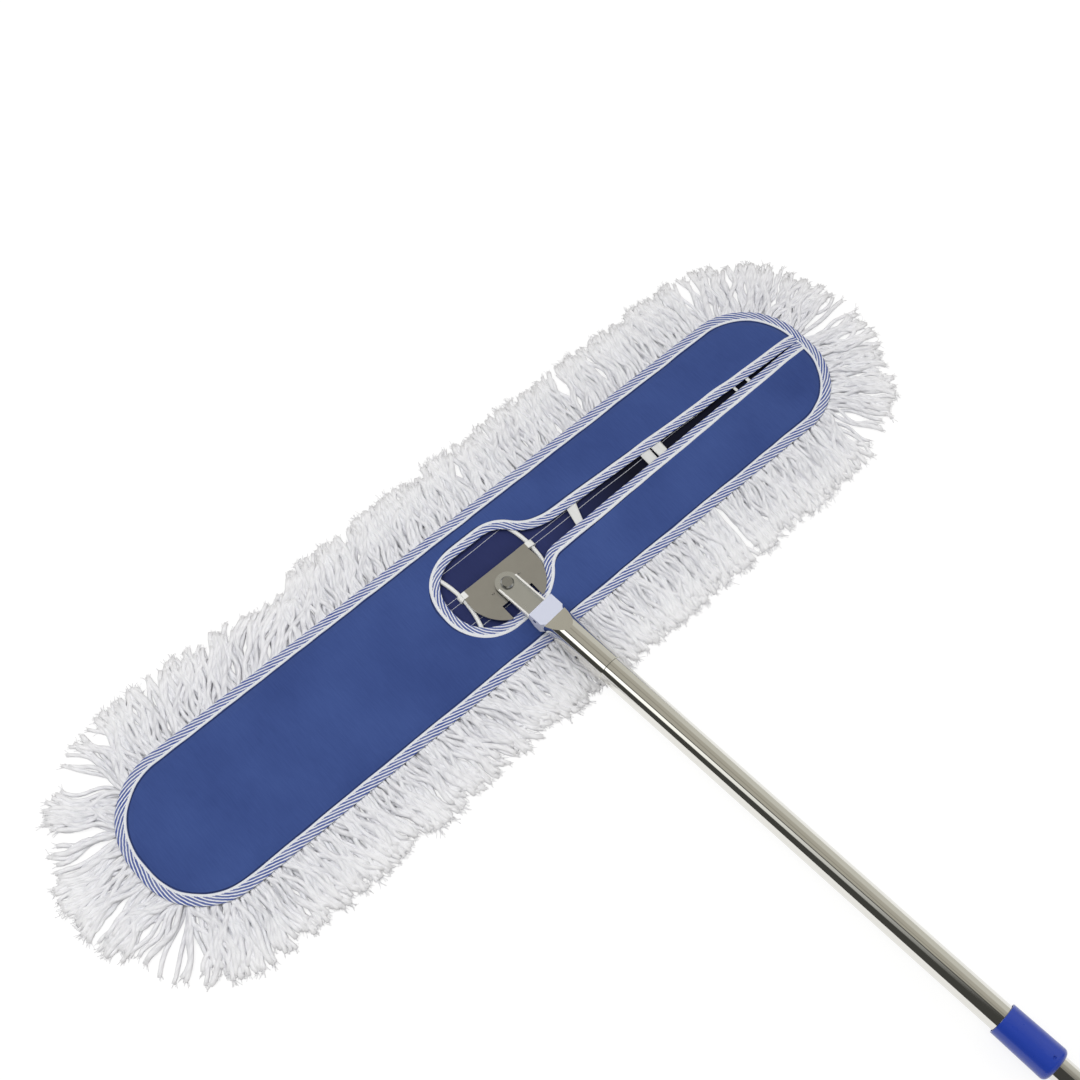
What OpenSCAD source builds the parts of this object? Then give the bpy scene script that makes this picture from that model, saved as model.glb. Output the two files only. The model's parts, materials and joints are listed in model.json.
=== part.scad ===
/* [Head] */
// Length of the head over its outer binding
cover_l = 900; // [600:5:1100]
// Width of the head over its outer binding
cover_w = 172; // [166:1:220]
// Corner radius of the head's outline
cover_r = 78; // [60:1:80]
// Thickness of the canvas
cloth_t = 0.7; // [0.5:0.1:1.2]
// Thickness of the pressed yarn under the base cloth
sole_t = 5.5; // [5:0.5:12]
// Distance between the sewn yarn rows underneath
row_pitch = 33; // [28:1:40]
// Width of the parting between two yarn rows
row_gap = 3; // [1:0.5:6]
// Depth of the parting between two yarn rows
row_depth = 3; // [1:0.5:4]
// Reach of the yarn fringe past the binding
fringe_w = 72; // [50:1:90]
// Height of the fringe where it bulges beside the binding
fringe_h = 11.5; // [10:0.5:13]
// Height of the fringe at its tips
fringe_tip_h = 3; // [2:0.5:6]

/* [Bindings] */
// Width of the tape sewn round the head
edge_tape_w = 11.5; // [9:0.5:14]
// Width of the tape sewn round the keyhole
key_tape_w = 10.5; // [7:0.5:12]
// Thickness of the tapes
tape_t = 0.7; // [0.5:0.1:1.2]
// Width of the white ties across the slot
tie_w = 6; // [4:0.5:10]

/* [Keyhole] */
// Length of the keyhole's wide part
key_l = 112; // [104:1:120]
// Width of the keyhole's wide part
key_w = 92; // [88:1:96]
// Straight part at the ends of the keyhole's wide part
key_flat = 8; // [2:1:20]
// Offset of the keyhole's middle towards the far side
key_y = 4; // [2:0.5:6]
// Radius of the flare between the keyhole and the slot's far edge
flare_far_r = 60; // [40:1:70]
// Radius of the flare between the keyhole and the slot's near edge
flare_near_r = 34; // [24:1:40]
// Width of the slot where it leaves the keyhole
slot_w = 23; // [18:1:26]
// Width of the slot at its tip
slot_tip_w = 2; // [1.5:0.5:5]
// Distance from the slot's tip to the head's raised rim
slot_land = 0.5; // [0.5:0.5:20]

/* [Wire frame] */
// Diameter of the frame's wire
wire_d = 4.6; // [4:0.1:6]
// Room between the wire loop and the head's raised rim
frame_room = 0.5; // [0.5:0.1:4]
// Distance between the two cross wires at the plate
cross_span = 92; // [90:1:98]
// Radius of the cross wires' bow
bow_r = 110; // [90:1:200]

/* [Swivel plate] */
// Swivel axis from the head's middle, along the head
rivet_x = 5.6; // [-5:0.1:10]
// Swivel axis from the head's middle, across the head
rivet_y = -10.6; // [-14:0.1:-8]
// Radius of the plate's round sides
plate_r = 44; // [40:0.5:44.5]
// Distance from the rivet to the plate's straight far edge
plate_far = 23.5; // [22.5:0.5:26]
// Distance from the rivet to the plate's near edge
plate_near = 32; // [28:0.5:36]
// Corner radius at the plate's far edge
plate_corner_r = 9; // [7:0.5:12]
// Sheet thickness of the plate
plate_t = 1.5; // [1:0.1:1.6]
// Width of the notch in the plate's near edge
notch_w = 39.5; // [29:0.5:40]
// Depth of the notch in the plate's near edge
notch_d = 17; // [10:0.5:17]
// Distance between the two dimples beside the rivet
dimple_span = 35; // [32:0.5:40]
// Diameter of a dimple
dimple_d = 4.4; // [3:0.1:5]
// Width of the plate's curled lugs
lug_w = 7; // [5:0.5:9]
// Diameter of the spacer washer
washer_d = 23; // [18:0.5:24]
// Thickness of the spacer washer
washer_t = 2; // [1:0.1:3]
// Shank diameter of the swivel rivet
rivet_d = 6.4; // [5:0.1:8]
// Diameter of the swivel rivet's head
rivet_head_d = 14; // [10:0.5:16]
// Height of the swivel rivet's head
rivet_head_h = 3; // [2:0.1:4]

/* [Bracket] */
// Width of the bracket over its flanges
bracket_w = 25.5; // [23:0.5:27]
// Sheet thickness of the bracket
bracket_t = 2; // [1.5:0.1:2.5]
// Height of the bracket's side rails above its floor
rail_h = 4.5; // [3.5:0.1:7]
// Height of the side rails above the floor beside the rivet
rail_nose_h = 2.5; // [1.5:0.1:3.5]
// Distance from the rivet to the hinge pin
pivot_reach = 54; // [46:0.5:70]
// Room between the block's front and the rails when the handle is upright
tilt_room = 1.3; // [0.5:0.1:4]
// Diameter of the hinge pin
hinge_pin_d = 4.6; // [3:0.1:5]

/* [Hinge block] */
// Width of the hinge block
block_w = 31.5; // [30:0.5:42]
// Height of the hinge block above its pin
block_top = 5.3; // [5:0.1:8]
// Depth of the hinge block below its pin
block_low = 12.5; // [8:0.1:12.5]
// Thickness of the block's roof over the bracket's ears
roof_t = 1; // [0.6:0.1:1.4]
// Reach of the hinge block in front of its pin
block_front = 8; // [7:0.1:11]
// Reach of the hinge block behind its pin
block_back = 12; // [10:0.5:20]
// Length of the block's tenon in the sleeve
tenon_l = 26; // [15:0.5:27]

/* [Handle] */
// Wall of the sleeve
sleeve_wall = 1.24; // [1:0.01:2]
// Length of the sleeve
sleeve_l = 75; // [65:1:110]
// Length of the sleeve's flattened mouth
mouth_l = 22; // [14:0.5:26]
// Outside diameter of the lower tube
lower_d = 28; // [24:0.1:32]
// Length of the lower tube
lower_l = 558; // [520:1:800]
// Wall of both tubes
tube_wall = 1.2; // [0.8:0.05:1.6]
// Gap all round between the two tubes
slide_gap = 0.3; // [0.2:0.05:0.6]
// Length of the upper tube
upper_l = 570; // [560:1:800]
// Length of the upper tube that stays in the lower tube at rest
overlap_l = 60; // [45:1:120]
// Angle of the handle from straight across the head, seen from above
rest_yaw = 4.2; // [-20:0.1:20]

/* [Twist lock] */
// Length of the lock collar
collar_l = 60; // [58:1:70]
// Wall of the lock collar at its mouth
collar_mouth_wall = 1.18; // [0.8:0.01:2.5]
// Wall of the lock collar at its shoulder
collar_wall = 1.98; // [1.5:0.01:3.5]
// Wall of the ferrule on the lower tube
ferrule_wall = 1.2; // [1:0.05:1.3]
// Length of the lower tube that the ferrule holds
ferrule_l = 24; // [16:1:27]
// Length of the collet's fingers
collet_l = 17; // [12:0.5:18]
// Length of the glide bush behind the upper tube
glide_l = 18; // [12:1:26]

/* [Hand grip] */
// Length of the hand grip
grip_l = 118; // [100:1:160]
// Wall of the hand grip at its ends
grip_wall = 2; // [1.5:0.1:5]
// How far the hand grip swells between its ends
grip_swell = 1; // [0.5:0.1:2.5]
// Diameter of the hanging hole
hang_d = 11; // [8:0.5:14]
// Thickness of the hanging eye
eye_t = 13; // [10:0.5:18]

/* [Hidden] */
$fn = 72;

// Cuts run past the faces that they open by this much
overrun = 1;
// Gap between a pin or shaft and the hole that it turns in
run_gap = 0.06;
// Gap between pieces that sit together without moving
seat_gap = 0.1;
// Gap between pieces that pass each other
pass_gap = 0.3;

// Heights of the layers above the floor
base_z = sole_t;
pocket_z = base_z + cloth_t;
wire_lift = 0.2;
wire_z = pocket_z + wire_lift + wire_d / 2;
top_z = wire_z + wire_d / 2 + wire_lift;
cover_z = top_z + cloth_t;
plate_z = cover_z + tape_t + pass_gap;
washer_z = plate_z + plate_t;
bracket_z = washer_z + washer_t + run_gap;
floor_z = bracket_z + bracket_t;
pivot_z = floor_z + rail_h + tilt_room + block_front;

// The hem is the cover's flat rim, and the rise leads up from it to the top
root_t = 2.8;
hem_z = pocket_z + root_t + 2 * wire_lift;
hem_inset = 1;
hem_rise = 7;
base_inset = 2;
root_in = 9;
head_r = min(cover_r, cover_w / 2 - seat_gap);
rim_in = edge_tape_w + hem_inset + hem_rise;
fringe_crown_share = 0.11;
fringe_slope_share = 0.8;
fringe_fall_share = 0.6;

// The flares cut this far into the wide part and the slot, so that the outlines cross
flare_bite = 0.2;
tape_fold_share = 0.6;
key_r = (key_w - key_flat) / 2;
slot_side_shares = [0.4, 0.6];
key_far_r = slot_side_shares[0] * (key_w - key_flat);
key_near_r = slot_side_shares[1] * (key_w - key_flat);
slot_tip_x = cover_l / 2 - rim_in - slot_land;
tie_shares = [0.16, 0.45, 0.49, 0.775, 0.83];
tie_t = 0.6;
tie_grip = 7;

// Where the plate's lugs hold the cross wires, which both bow the same way
lug_shift = 3;
bow_x = [for (side = [-1, 1]) rivet_x + lug_shift + side * cross_span / 2];
lug_inset_share = 0.37;
lug_y = rivet_y + plate_far - plate_corner_r * lug_inset_share;
frame_inset = rim_in + frame_room;
frame_l = cover_l - 2 * frame_inset;
frame_w = cover_w - 2 * frame_inset;
frame_r = head_r - frame_inset - wire_d / 2;
frame_y = (frame_w - wire_d) / 2;
lug_slack = 0.6;
lug_r = wire_d / 2 + lug_slack;

// The plate is a disc cut straight at its far and near edges
plate_shift_share = 0.255;
plate_mid = plate_far * plate_shift_share;
corner_y = plate_far - plate_corner_r;
corner_x = sqrt(pow(plate_r - plate_corner_r, 2) - pow(corner_y - plate_mid, 2));
corner_turn = plate_r / (plate_r - plate_corner_r);
touch = [corner_x * corner_turn, plate_mid + (corner_y - plate_mid) * corner_turn];
lug_strap = plate_corner_r;
// The dimples rise into the room that the washer leaves under the bracket
dimple_rise_share = 0.5;
dimple_h = washer_t * dimple_rise_share;
dimple_top_share = 0.45;
dimple_y = rivet_y + dimple_d * dimple_top_share;

backing_d = 18;
backing_t = 1.2;
rivet_foot_h = 1.6;

// Places along the handle, counted from the hinge pin
ear_r = block_top - roof_t - pass_gap;
slot_half = ear_r + pass_gap;
sleeve_s = block_back;
tube_gap = 2;
lower_s = sleeve_s + tenon_l + tube_gap;
lower_end = lower_s + lower_l;
sleeve_rivet_share = 0.6;
sleeve_rivet_s = sleeve_s + sleeve_rivet_share * sleeve_l;
sleeve_rivet_d = 4;
sleeve_rivet_head_d = 6.4;
sleeve_rivet_head_h = 1;
sleeve_bore_d = lower_d + 2 * run_gap;
sleeve_d = sleeve_bore_d + 2 * sleeve_wall;
block_chamfer = 4;

lip_t = 2.4;
ferrule_d = lower_d + 2 * (run_gap + ferrule_wall);
collet_end = lower_end + lip_t + collet_l;
collet_tip_wall = 1.6;
finger_count = 6;
finger_slit = 1.2;
collar_nose = 8;
collar_end = collet_end + pass_gap + collar_nose;
collar_s = collar_end - collar_l;
collar_bore_d = ferrule_d + 2 * run_gap;
collar_mouth_d = collar_bore_d + 2 * collar_mouth_wall;
collar_d = collar_bore_d + 2 * collar_wall;
collar_round = 5;
collar_mark_d = 3;
collar_mark_share = 0.86;
lower_bore_d = lower_d - 2 * tube_wall;
upper_d = lower_bore_d - 2 * slide_gap;
upper_bore_d = upper_d - 2 * tube_wall;
upper_s = lower_end - overlap_l;
upper_end = upper_s + upper_l;
glide_d = lower_bore_d - 2 * run_gap;
glide_spigot_l = 14;
glide_wall = 2;

grip_socket = 32;
grip_s = upper_end - grip_socket;
grip_ribs = 9;
grip_rib_h = 0.35;
grip_steps = 72;
grip_first_share = 0.12;
grip_last_share = 0.62;
grip_end = grip_s + grip_l;
grip_r = upper_d / 2 + seat_gap + grip_wall;
eye_r = grip_r;
eye_s = grip_end - eye_r;
eye_pass_l = 24;

// The handle lies on the floor at the widest place of its grip
rest_share = 0.5;
grip_max_r = grip_r + grip_swell;
rest_s = grip_s + rest_share * grip_l;
rest_slope = asin((pivot_z - grip_max_r - grip_rib_h) / rest_s);

function grip_radius(share) = grip_r + grip_swell * sin(180 * share)
  + (share > grip_first_share && share < grip_last_share
    ? grip_rib_h * sin(360 * grip_ribs * (share - grip_first_share) / (grip_last_share - grip_first_share))
    : 0);
function plate_half(y) = corner_x + sqrt(pow(plate_corner_r, 2) - pow(y - corner_y, 2));

// A rectangle with true round corners
module round_rect(l, w, r) {
  square([l - 2 * r, w], center = true);
  square([l, w - 2 * r], center = true);
  for (x = [-1, 1], y = [-1, 1])
    translate([x * (l / 2 - r), y * (w / 2 - r)]) circle(r);
}

// Carries a profile round a rounded rectangle, with the profile's x pointing outwards
module loop_sweep(l, w, r) {
  for (turn = [0, 180]) rotate(turn) {
    translate([r - l / 2, w / 2, 0]) rotate([90, 0, 90]) linear_extrude(l - 2 * r) children();
    translate([l / 2, w / 2 - r, 0]) rotate([90, 0, 0]) linear_extrude(w - 2 * r) children();
    translate([l / 2 - r, w / 2 - r, 0]) rotate_extrude(angle = 90) translate([r, 0]) children();
    translate([r - l / 2, w / 2 - r, 0]) rotate(90) rotate_extrude(angle = 90) translate([r, 0]) children();
  }
}

module lay(s) { translate([s, 0, 0]) rotate([0, 90, 0]) children(); }

// Round bar or bore along the handle between two places
module rod(s1, s2, d) { lay(s1) cylinder(d = d, h = s2 - s1); }

// Round bar across the handle
module cross_rod(s, d, l) { translate([s, 0, 0]) rotate([90, 0, 0]) cylinder(d = d, h = l, center = true); }

// The swivel's frame has +X towards the handle, and the handle's frame starts at the hinge pin
module on_swivel() { translate([rivet_x, rivet_y, 0]) rotate(rest_yaw - 90) children(); }
module on_handle() {
  on_swivel() translate([pivot_reach, 0, pivot_z]) rotate([0, rest_slope, 0]) children();
}

// Middle of the flare that joins a corner of the keyhole's wide part to the slot's edge
function flare_at(r, flare_r) = let (rise = slot_w / 2 + flare_r - flare_bite)
  [key_l / 2 - r + sqrt(pow(r + flare_r - flare_bite, 2) - pow(rise - key_w / 2 + r, 2)), rise];

// The web between a corner of the keyhole's wide part and the slot, hollowed by its flare
module flare_web(margin, r, flare_r) {
  flare = flare_at(r, flare_r);
  difference() {
    polygon([[key_l / 2 - r, key_w / 2 - r], flare, [flare.x, 0]]);
    translate(flare) circle(flare_r - margin);
  }
}

// The keyhole's outline, grown by a margin: a wide part, its flares and a slot that narrows
module keyhole(margin) {
  half_l = key_l / 2;
  half_w = key_w / 2;
  side_y = slot_w / 2 + margin;
  tip = [slot_tip_x, -key_y];
  tip_y = slot_tip_w / 2 + margin;
  translate([0, key_y]) {
    polygon([
      [key_r - half_l, half_w + margin], [half_l - key_far_r, half_w + margin],
      [half_l + margin, half_w - key_far_r], [half_l + margin, key_near_r - half_w],
      [half_l - key_near_r, -half_w - margin], [key_r - half_l, -half_w - margin],
      [-half_l - margin, key_r - half_w], [-half_l - margin, half_w - key_r]
    ]);
    for (y = [-1, 1]) translate([key_r - half_l, y * (half_w - key_r)]) circle(key_r + margin);
    translate([half_l - key_far_r, half_w - key_far_r]) circle(key_far_r + margin);
    translate([half_l - key_near_r, key_near_r - half_w]) circle(key_near_r + margin);
    polygon([
      [0, side_y], [flare_at(key_far_r, flare_far_r).x, side_y], [tip.x, tip.y + tip_y],
      [tip.x, tip.y - tip_y], [flare_at(key_near_r, flare_near_r).x, -side_y], [0, -side_y]
    ]);
    flare_web(margin, key_far_r, flare_far_r);
    mirror([0, 1]) flare_web(margin, key_near_r, flare_near_r);
  }
}

// Slabs of pressed yarn under the base cloth, parted between their sewn rows
module sole_yarn() {
  color("gainsboro") difference() {
    linear_extrude(sole_t) round_rect(cover_l, cover_w, head_r);
    for (side = [-1, 1], row = [1, 3]) translate([0, side * row * row_pitch / 2, 0])
      cube([cover_l + 2 * overrun, row_gap, 2 * row_depth], center = true);
  }
}

// Skirt of loose yarn all round: its root is sewn between the base cloth and the cover
module yarn_fringe() {
  color("white") loop_sweep(cover_l, cover_w, head_r) polygon([
    [-root_in, pocket_z + wire_lift], [-root_in, pocket_z + wire_lift + root_t],
    [pass_gap, pocket_z + wire_lift + root_t], [fringe_w * fringe_crown_share, fringe_h],
    [fringe_w * fringe_slope_share, fringe_h * fringe_fall_share], [fringe_w, fringe_tip_h],
    [fringe_w, 0], [pass_gap, 0], [pass_gap, pocket_z + wire_lift]
  ]);
}

module base_cloth() {
  color("midnightblue") translate([0, 0, base_z]) linear_extrude(cloth_t)
    round_rect(cover_l - 2 * base_inset, cover_w - 2 * base_inset, head_r - base_inset);
}

// Canvas top with a flat hem, a rise round the wire frame and the keyhole
module top_cover() {
  color("royalblue") {
    loop_sweep(cover_l, cover_w, head_r) polygon([
      [-hem_inset, hem_z], [-edge_tape_w - hem_inset, hem_z], [-rim_in, top_z], [-rim_in, cover_z],
      [-edge_tape_w - hem_inset, hem_z + cloth_t], [-hem_inset, hem_z + cloth_t]
    ]);
    translate([0, 0, top_z]) linear_extrude(cloth_t) difference() {
      round_rect(cover_l - 2 * rim_in, cover_w - 2 * rim_in, head_r - rim_in);
      keyhole(0);
    }
  }
}

// Tape folded over the hem of the cover
module edge_binding() {
  color("lightsteelblue") loop_sweep(cover_l, cover_w, head_r) polygon([
    [0, hem_z], [-hem_inset, hem_z], [-hem_inset, hem_z + cloth_t], [-edge_tape_w, hem_z + cloth_t],
    [-edge_tape_w, hem_z + cloth_t + tape_t / 2], [-edge_tape_w + tape_t, hem_z + cloth_t + tape_t],
    [-tape_t, hem_z + cloth_t + tape_t], [0, hem_z + cloth_t]
  ]);
}

// Tape folded over the keyhole's edge
module keyhole_binding() {
  fold = tape_t * tape_fold_share;
  color("lightsteelblue") {
    translate([0, 0, cover_z]) linear_extrude(tape_t) difference() {
      keyhole(key_tape_w);
      keyhole(-fold);
    }
    translate([0, 0, top_z]) linear_extrude(cloth_t) difference() {
      keyhole(0);
      keyhole(-fold);
      translate([slot_tip_x - tie_grip, -cover_w / 2]) square([cover_l, cover_w]);
    }
  }
}

// White ties that hold the slot together from below
module slot_ties() {
  color("white") for (share = tie_shares) {
    x = key_l / 2 + share * (slot_tip_x - key_l / 2);
    y = key_y * (1 - 2 * share);
    width = slot_w + share * (slot_tip_w - slot_w) + 2 * tie_grip;
    translate([x - tie_w / 2, y - width / 2, top_z - tie_t]) cube([tie_w, width, tie_t]);
  }
}

// One closed loop of wire that fills the pocket
module wire_loop() {
  color("silver") loop_sweep(frame_l - wire_d, frame_w - wire_d, frame_r)
    translate([0, wire_z]) circle(d = wire_d);
}

// Two bowed wires welded between the long sides of the loop
module cross_wires() {
  far_turn = asin((frame_y - lug_y) / bow_r);
  near_turn = asin((frame_y + lug_y) / bow_r);
  color("white") difference() {
    for (x = bow_x) translate([x - bow_r, lug_y, wire_z]) rotate(-near_turn)
      rotate_extrude(angle = far_turn + near_turn) translate([bow_r, 0]) circle(d = wire_d);
    for (side = [-1, 1]) translate([-frame_l / 2, side * frame_y, wire_z]) rotate([0, 90, 0])
      cylinder(d = wire_d + 2 * seat_gap, h = frame_l);
  }
}

module plate_outline() {
  intersection() {
    translate([0, plate_mid]) circle(plate_r);
    translate([-plate_r, -plate_near]) square([2 * plate_r, plate_near + touch.y]);
  }
  polygon([[-touch.x, touch.y], [touch.x, touch.y], [corner_x, plate_far], [-corner_x, plate_far]]);
  for (side = [-1, 1]) translate([side * corner_x, corner_y]) circle(plate_corner_r);
}

// A curl of sheet metal that goes over a cross wire and down beside it, clear of the base cloth
module curled_lug(side, x) {
  lug_out = lug_r + plate_t;
  drop = wire_z - pocket_z - seat_gap;
  strap_l = abs(x - rivet_x) - plate_half(lug_y - rivet_y) + lug_strap;
  translate([x, lug_y, wire_z]) rotate([90, 0, 0]) linear_extrude(lug_w, center = true)
    mirror([side < 0 ? 0 : 1, 0]) {
      difference() {
        circle(lug_out);
        circle(lug_r);
        translate([0, -lug_out]) square(lug_out);
        translate([-lug_out, -lug_out]) square([lug_out, lug_out - drop]);
      }
      translate([0, lug_r]) square([plate_t, plate_z + plate_t - wire_z - lug_r]);
    }
  translate([side < 0 ? x : x - strap_l, lug_y - lug_w / 2, plate_z]) cube([strap_l, lug_w, plate_t]);
}

// Shield-shaped stainless plate with two dimples, notched under the bracket and curled round the cross wires
module swivel_plate() {
  color("darkgray") difference() {
    union() {
      translate([rivet_x, rivet_y, plate_z]) linear_extrude(plate_t) difference() {
        plate_outline();
        translate([-notch_w / 2, -plate_near - overrun]) square([notch_w, notch_d + overrun]);
      }
      curled_lug(-1, bow_x[0]);
      curled_lug(1, bow_x[1]);
      for (side = [-1, 1]) translate([rivet_x + side * dimple_span / 2, dimple_y, plate_z + plate_t / 2])
        cylinder(d1 = dimple_d, d2 = dimple_d * dimple_top_share, h = plate_t / 2 + dimple_h);
    }
    translate([rivet_x, rivet_y, plate_z - overrun])
      cylinder(d = rivet_d + 2 * run_gap, h = plate_t + 2 * overrun);
  }
}

module washer(z, d, t) {
  translate([rivet_x, rivet_y, z]) difference() {
    cylinder(d = d, h = t);
    translate([0, 0, -overrun]) cylinder(d = rivet_d + 2 * run_gap, h = t + 2 * overrun);
  }
}
module backing_washer() { color("silver") washer(plate_z - backing_t, backing_d, backing_t); }
module spacer_washer() { color("gray") washer(washer_z, washer_d, washer_t); }

// Rivet with a rounded head above the bracket and a peened foot under the plate
module swivel_rivet() {
  foot_z = plate_z - backing_t - rivet_foot_h;
  head_z = floor_z + run_gap;
  color("silver") translate([rivet_x, rivet_y, 0]) {
    translate([0, 0, foot_z]) cylinder(d = rivet_d, h = head_z - foot_z);
    translate([0, 0, foot_z]) cylinder(d1 = rivet_d, d2 = rivet_head_d, h = rivet_foot_h);
    translate([0, 0, head_z]) cylinder(d = rivet_head_d, h = rivet_head_h / 2);
    translate([0, 0, head_z + rivet_head_h / 2])
      cylinder(d1 = rivet_head_d, d2 = rivet_head_d - rivet_head_h, h = rivet_head_h / 2);
  }
}

// Side view of a bracket flange: a rail that rises from the rivet and ends in an upright ear
module flange_side() {
  polygon([
    [0, bracket_z], [pivot_reach + ear_r, bracket_z], [pivot_reach + ear_r, floor_z + rail_h],
    [pivot_reach - ear_r, floor_z + rail_h], [0, floor_z + rail_nose_h]
  ]);
  translate([pivot_reach - ear_r, bracket_z]) square([2 * ear_r, pivot_z - bracket_z]);
  translate([pivot_reach, pivot_z]) circle(ear_r);
}

// U-shaped bracket that swivels on the rivet and carries the hinge pin in two ears
module swivel_bracket() {
  color("silver") on_swivel() difference() {
    union() {
      translate([0, 0, bracket_z]) linear_extrude(bracket_t) {
        circle(d = bracket_w);
        translate([0, -bracket_w / 2]) square([pivot_reach + ear_r, bracket_w]);
      }
      for (y = [-bracket_w / 2 + bracket_t, bracket_w / 2])
        translate([0, y, 0]) rotate([90, 0, 0]) linear_extrude(bracket_t) flange_side();
    }
    translate([0, 0, bracket_z - overrun])
      cylinder(d = rivet_d + 2 * run_gap, h = bracket_t + 2 * overrun);
    translate([0, 0, pivot_z]) cross_rod(pivot_reach, hinge_pin_d + 2 * run_gap, bracket_w + 2 * overrun);
  }
}

// Side view of the room that an ear sweeps in the block, open in front and below
module ear_sweep() {
  translate([-block_front - overrun, -block_low - overrun])
    square([block_front + overrun + slot_half, block_low + overrun]);
  translate([-block_front - overrun, 0]) square([block_front + overrun, slot_half]);
  circle(slot_half);
}

// The block's plan, bevelled where it meets the sleeve
module block_plan() {
  polygon([
    [-block_front - overrun, -block_w / 2], [block_back - block_chamfer, -block_w / 2],
    [block_back, -block_w / 2 + block_chamfer], [block_back, block_w / 2 - block_chamfer],
    [block_back - block_chamfer, block_w / 2], [-block_front - overrun, block_w / 2]
  ]);
}

// The block's side view, cut away below its front so that it clears the bracket's floor as it tilts
module block_side() {
  polygon([
    [-block_front, block_top], [block_back + overrun, block_top], [block_back + overrun, -block_low],
    [0, -block_low], [-block_front, block_front - block_low]
  ]);
}

// White nylon block: cheeks, a middle tongue and a roof over the bracket's ears
module hinge_block() {
  tenon_h = 2 * (block_top - sleeve_wall - seat_gap);
  color("ghostwhite") on_handle() difference() {
    union() {
      intersection() {
        translate([0, 0, -block_low - overrun])
          linear_extrude(block_low + block_top + 2 * overrun) block_plan();
        rotate([90, 0, 0]) linear_extrude(block_w + 2 * overrun, center = true) block_side();
      }
      intersection() {
        rod(0, block_back + tenon_l, sleeve_bore_d - 2 * seat_gap);
        translate([0, -block_w / 2, -tenon_h / 2]) cube([block_back + tenon_l, block_w, tenon_h]);
      }
    }
    for (y = [-bracket_w / 2 + bracket_t + pass_gap, bracket_w / 2 + pass_gap])
      translate([0, y, 0]) rotate([90, 0, 0]) linear_extrude(bracket_t + 2 * pass_gap) ear_sweep();
    cross_rod(0, hinge_pin_d, block_w + 2 * overrun);
  }
}

module hinge_pin() { color("silver") on_handle() cross_rod(0, hinge_pin_d, block_w); }

// Outline of the sleeve from the side, pinched flat at its mouth
module pinched_side(inset, past) {
  high = sleeve_d / 2 + overrun;
  low = block_top - inset;
  rise = (sleeve_d / 2 - block_top) / mouth_l;
  far = sleeve_s + sleeve_l + past;
  knee = sleeve_s + (high - block_top) / rise;
  polygon([
    [sleeve_s - past, low - rise * past], [knee, high - inset], [far, high - inset],
    [far, -high + inset], [knee, -high + inset], [sleeve_s - past, -low + rise * past]
  ]);
}

// Stainless sleeve with a fish-mouth end over the block's tenon
module handle_sleeve() {
  color("silver") on_handle() difference() {
    intersection() {
      rod(sleeve_s, sleeve_s + sleeve_l, sleeve_d);
      rotate([90, 0, 0]) linear_extrude(2 * sleeve_d, center = true) pinched_side(0, 0);
    }
    intersection() {
      rod(sleeve_s - overrun, sleeve_s + sleeve_l + overrun, sleeve_bore_d);
      rotate([90, 0, 0]) linear_extrude(2 * sleeve_d, center = true) pinched_side(sleeve_wall, overrun);
    }
    cross_rod(sleeve_rivet_s, sleeve_rivet_d, 2 * sleeve_d);
  }
}

// Cross rivet through the sleeve and the lower tube, with a small head on each side
module sleeve_rivet() {
  color("silver") on_handle() {
    cross_rod(sleeve_rivet_s, sleeve_rivet_d, sleeve_d);
    for (turn = [0, 180]) translate([sleeve_rivet_s, 0, 0]) rotate([90 + turn, 0, 0])
      translate([0, 0, sleeve_d / 2])
        cylinder(d1 = sleeve_rivet_head_d, d2 = sleeve_rivet_d, h = sleeve_rivet_head_h);
  }
}

module lower_tube() {
  color("silver") on_handle() difference() {
    rod(lower_s, lower_end, lower_d);
    rod(lower_s - overrun, lower_end + overrun, lower_bore_d);
    cross_rod(sleeve_rivet_s, sleeve_rivet_d, 2 * sleeve_d);
  }
}

// Ferrule on the end of the lower tube, with split fingers that grip the upper tube
module collet_ferrule() {
  color("dimgray") on_handle() difference() {
    union() {
      rod(lower_end - ferrule_l, lower_end + lip_t, ferrule_d);
      lay(lower_end + lip_t)
        cylinder(d1 = ferrule_d, d2 = upper_d + 2 * collet_tip_wall, h = collet_l);
    }
    rod(lower_end - ferrule_l - overrun, lower_end + seat_gap, lower_d + 2 * run_gap);
    rod(lower_end - overrun, collet_end + overrun, upper_d + 2 * run_gap);
    for (finger = [0 : finger_count / 2 - 1]) rotate([360 / finger_count * finger, 0, 0])
      translate([lower_end + lip_t, -finger_slit / 2, -ferrule_d])
        cube([collet_l + overrun, finger_slit, 2 * ferrule_d]);
  }
}

// Blue collar that turns on the ferrule and wedges the collet shut
module lock_collar() {
  color("mediumblue") on_handle() difference() {
    lay(collar_s) rotate_extrude() {
      polygon([
        [0, 0], [collar_mouth_d / 2, 0], [collar_d / 2, collar_l - collar_round],
        [collar_d / 2 - collar_round, collar_l - collar_round], [collar_d / 2 - collar_round, collar_l],
        [0, collar_l]
      ]);
      translate([collar_d / 2 - collar_round, collar_l - collar_round]) circle(collar_round);
    }
    rod(collar_s - overrun, lower_end + lip_t + pass_gap, collar_bore_d);
    lay(lower_end + lip_t + pass_gap)
      cylinder(d1 = collar_bore_d, d2 = upper_d + 2 * (collet_tip_wall + pass_gap), h = collet_l);
    rod(lower_end, collar_end + overrun, upper_d + 2 * pass_gap);
    translate([collar_s + collar_mark_share * collar_l, 0, collar_d / 2]) sphere(d = collar_mark_d);
  }
}

// Plastic bush that keeps the upper tube centred in the lower one
module glide_bush() {
  color("dimgray") on_handle() difference() {
    union() {
      rod(upper_s - glide_l, upper_s, glide_d);
      rod(upper_s, upper_s + glide_spigot_l, upper_bore_d - 2 * run_gap);
    }
    rod(upper_s - glide_l - overrun, upper_s + glide_spigot_l + overrun,
      upper_bore_d - 2 * (run_gap + glide_wall));
  }
}

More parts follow.
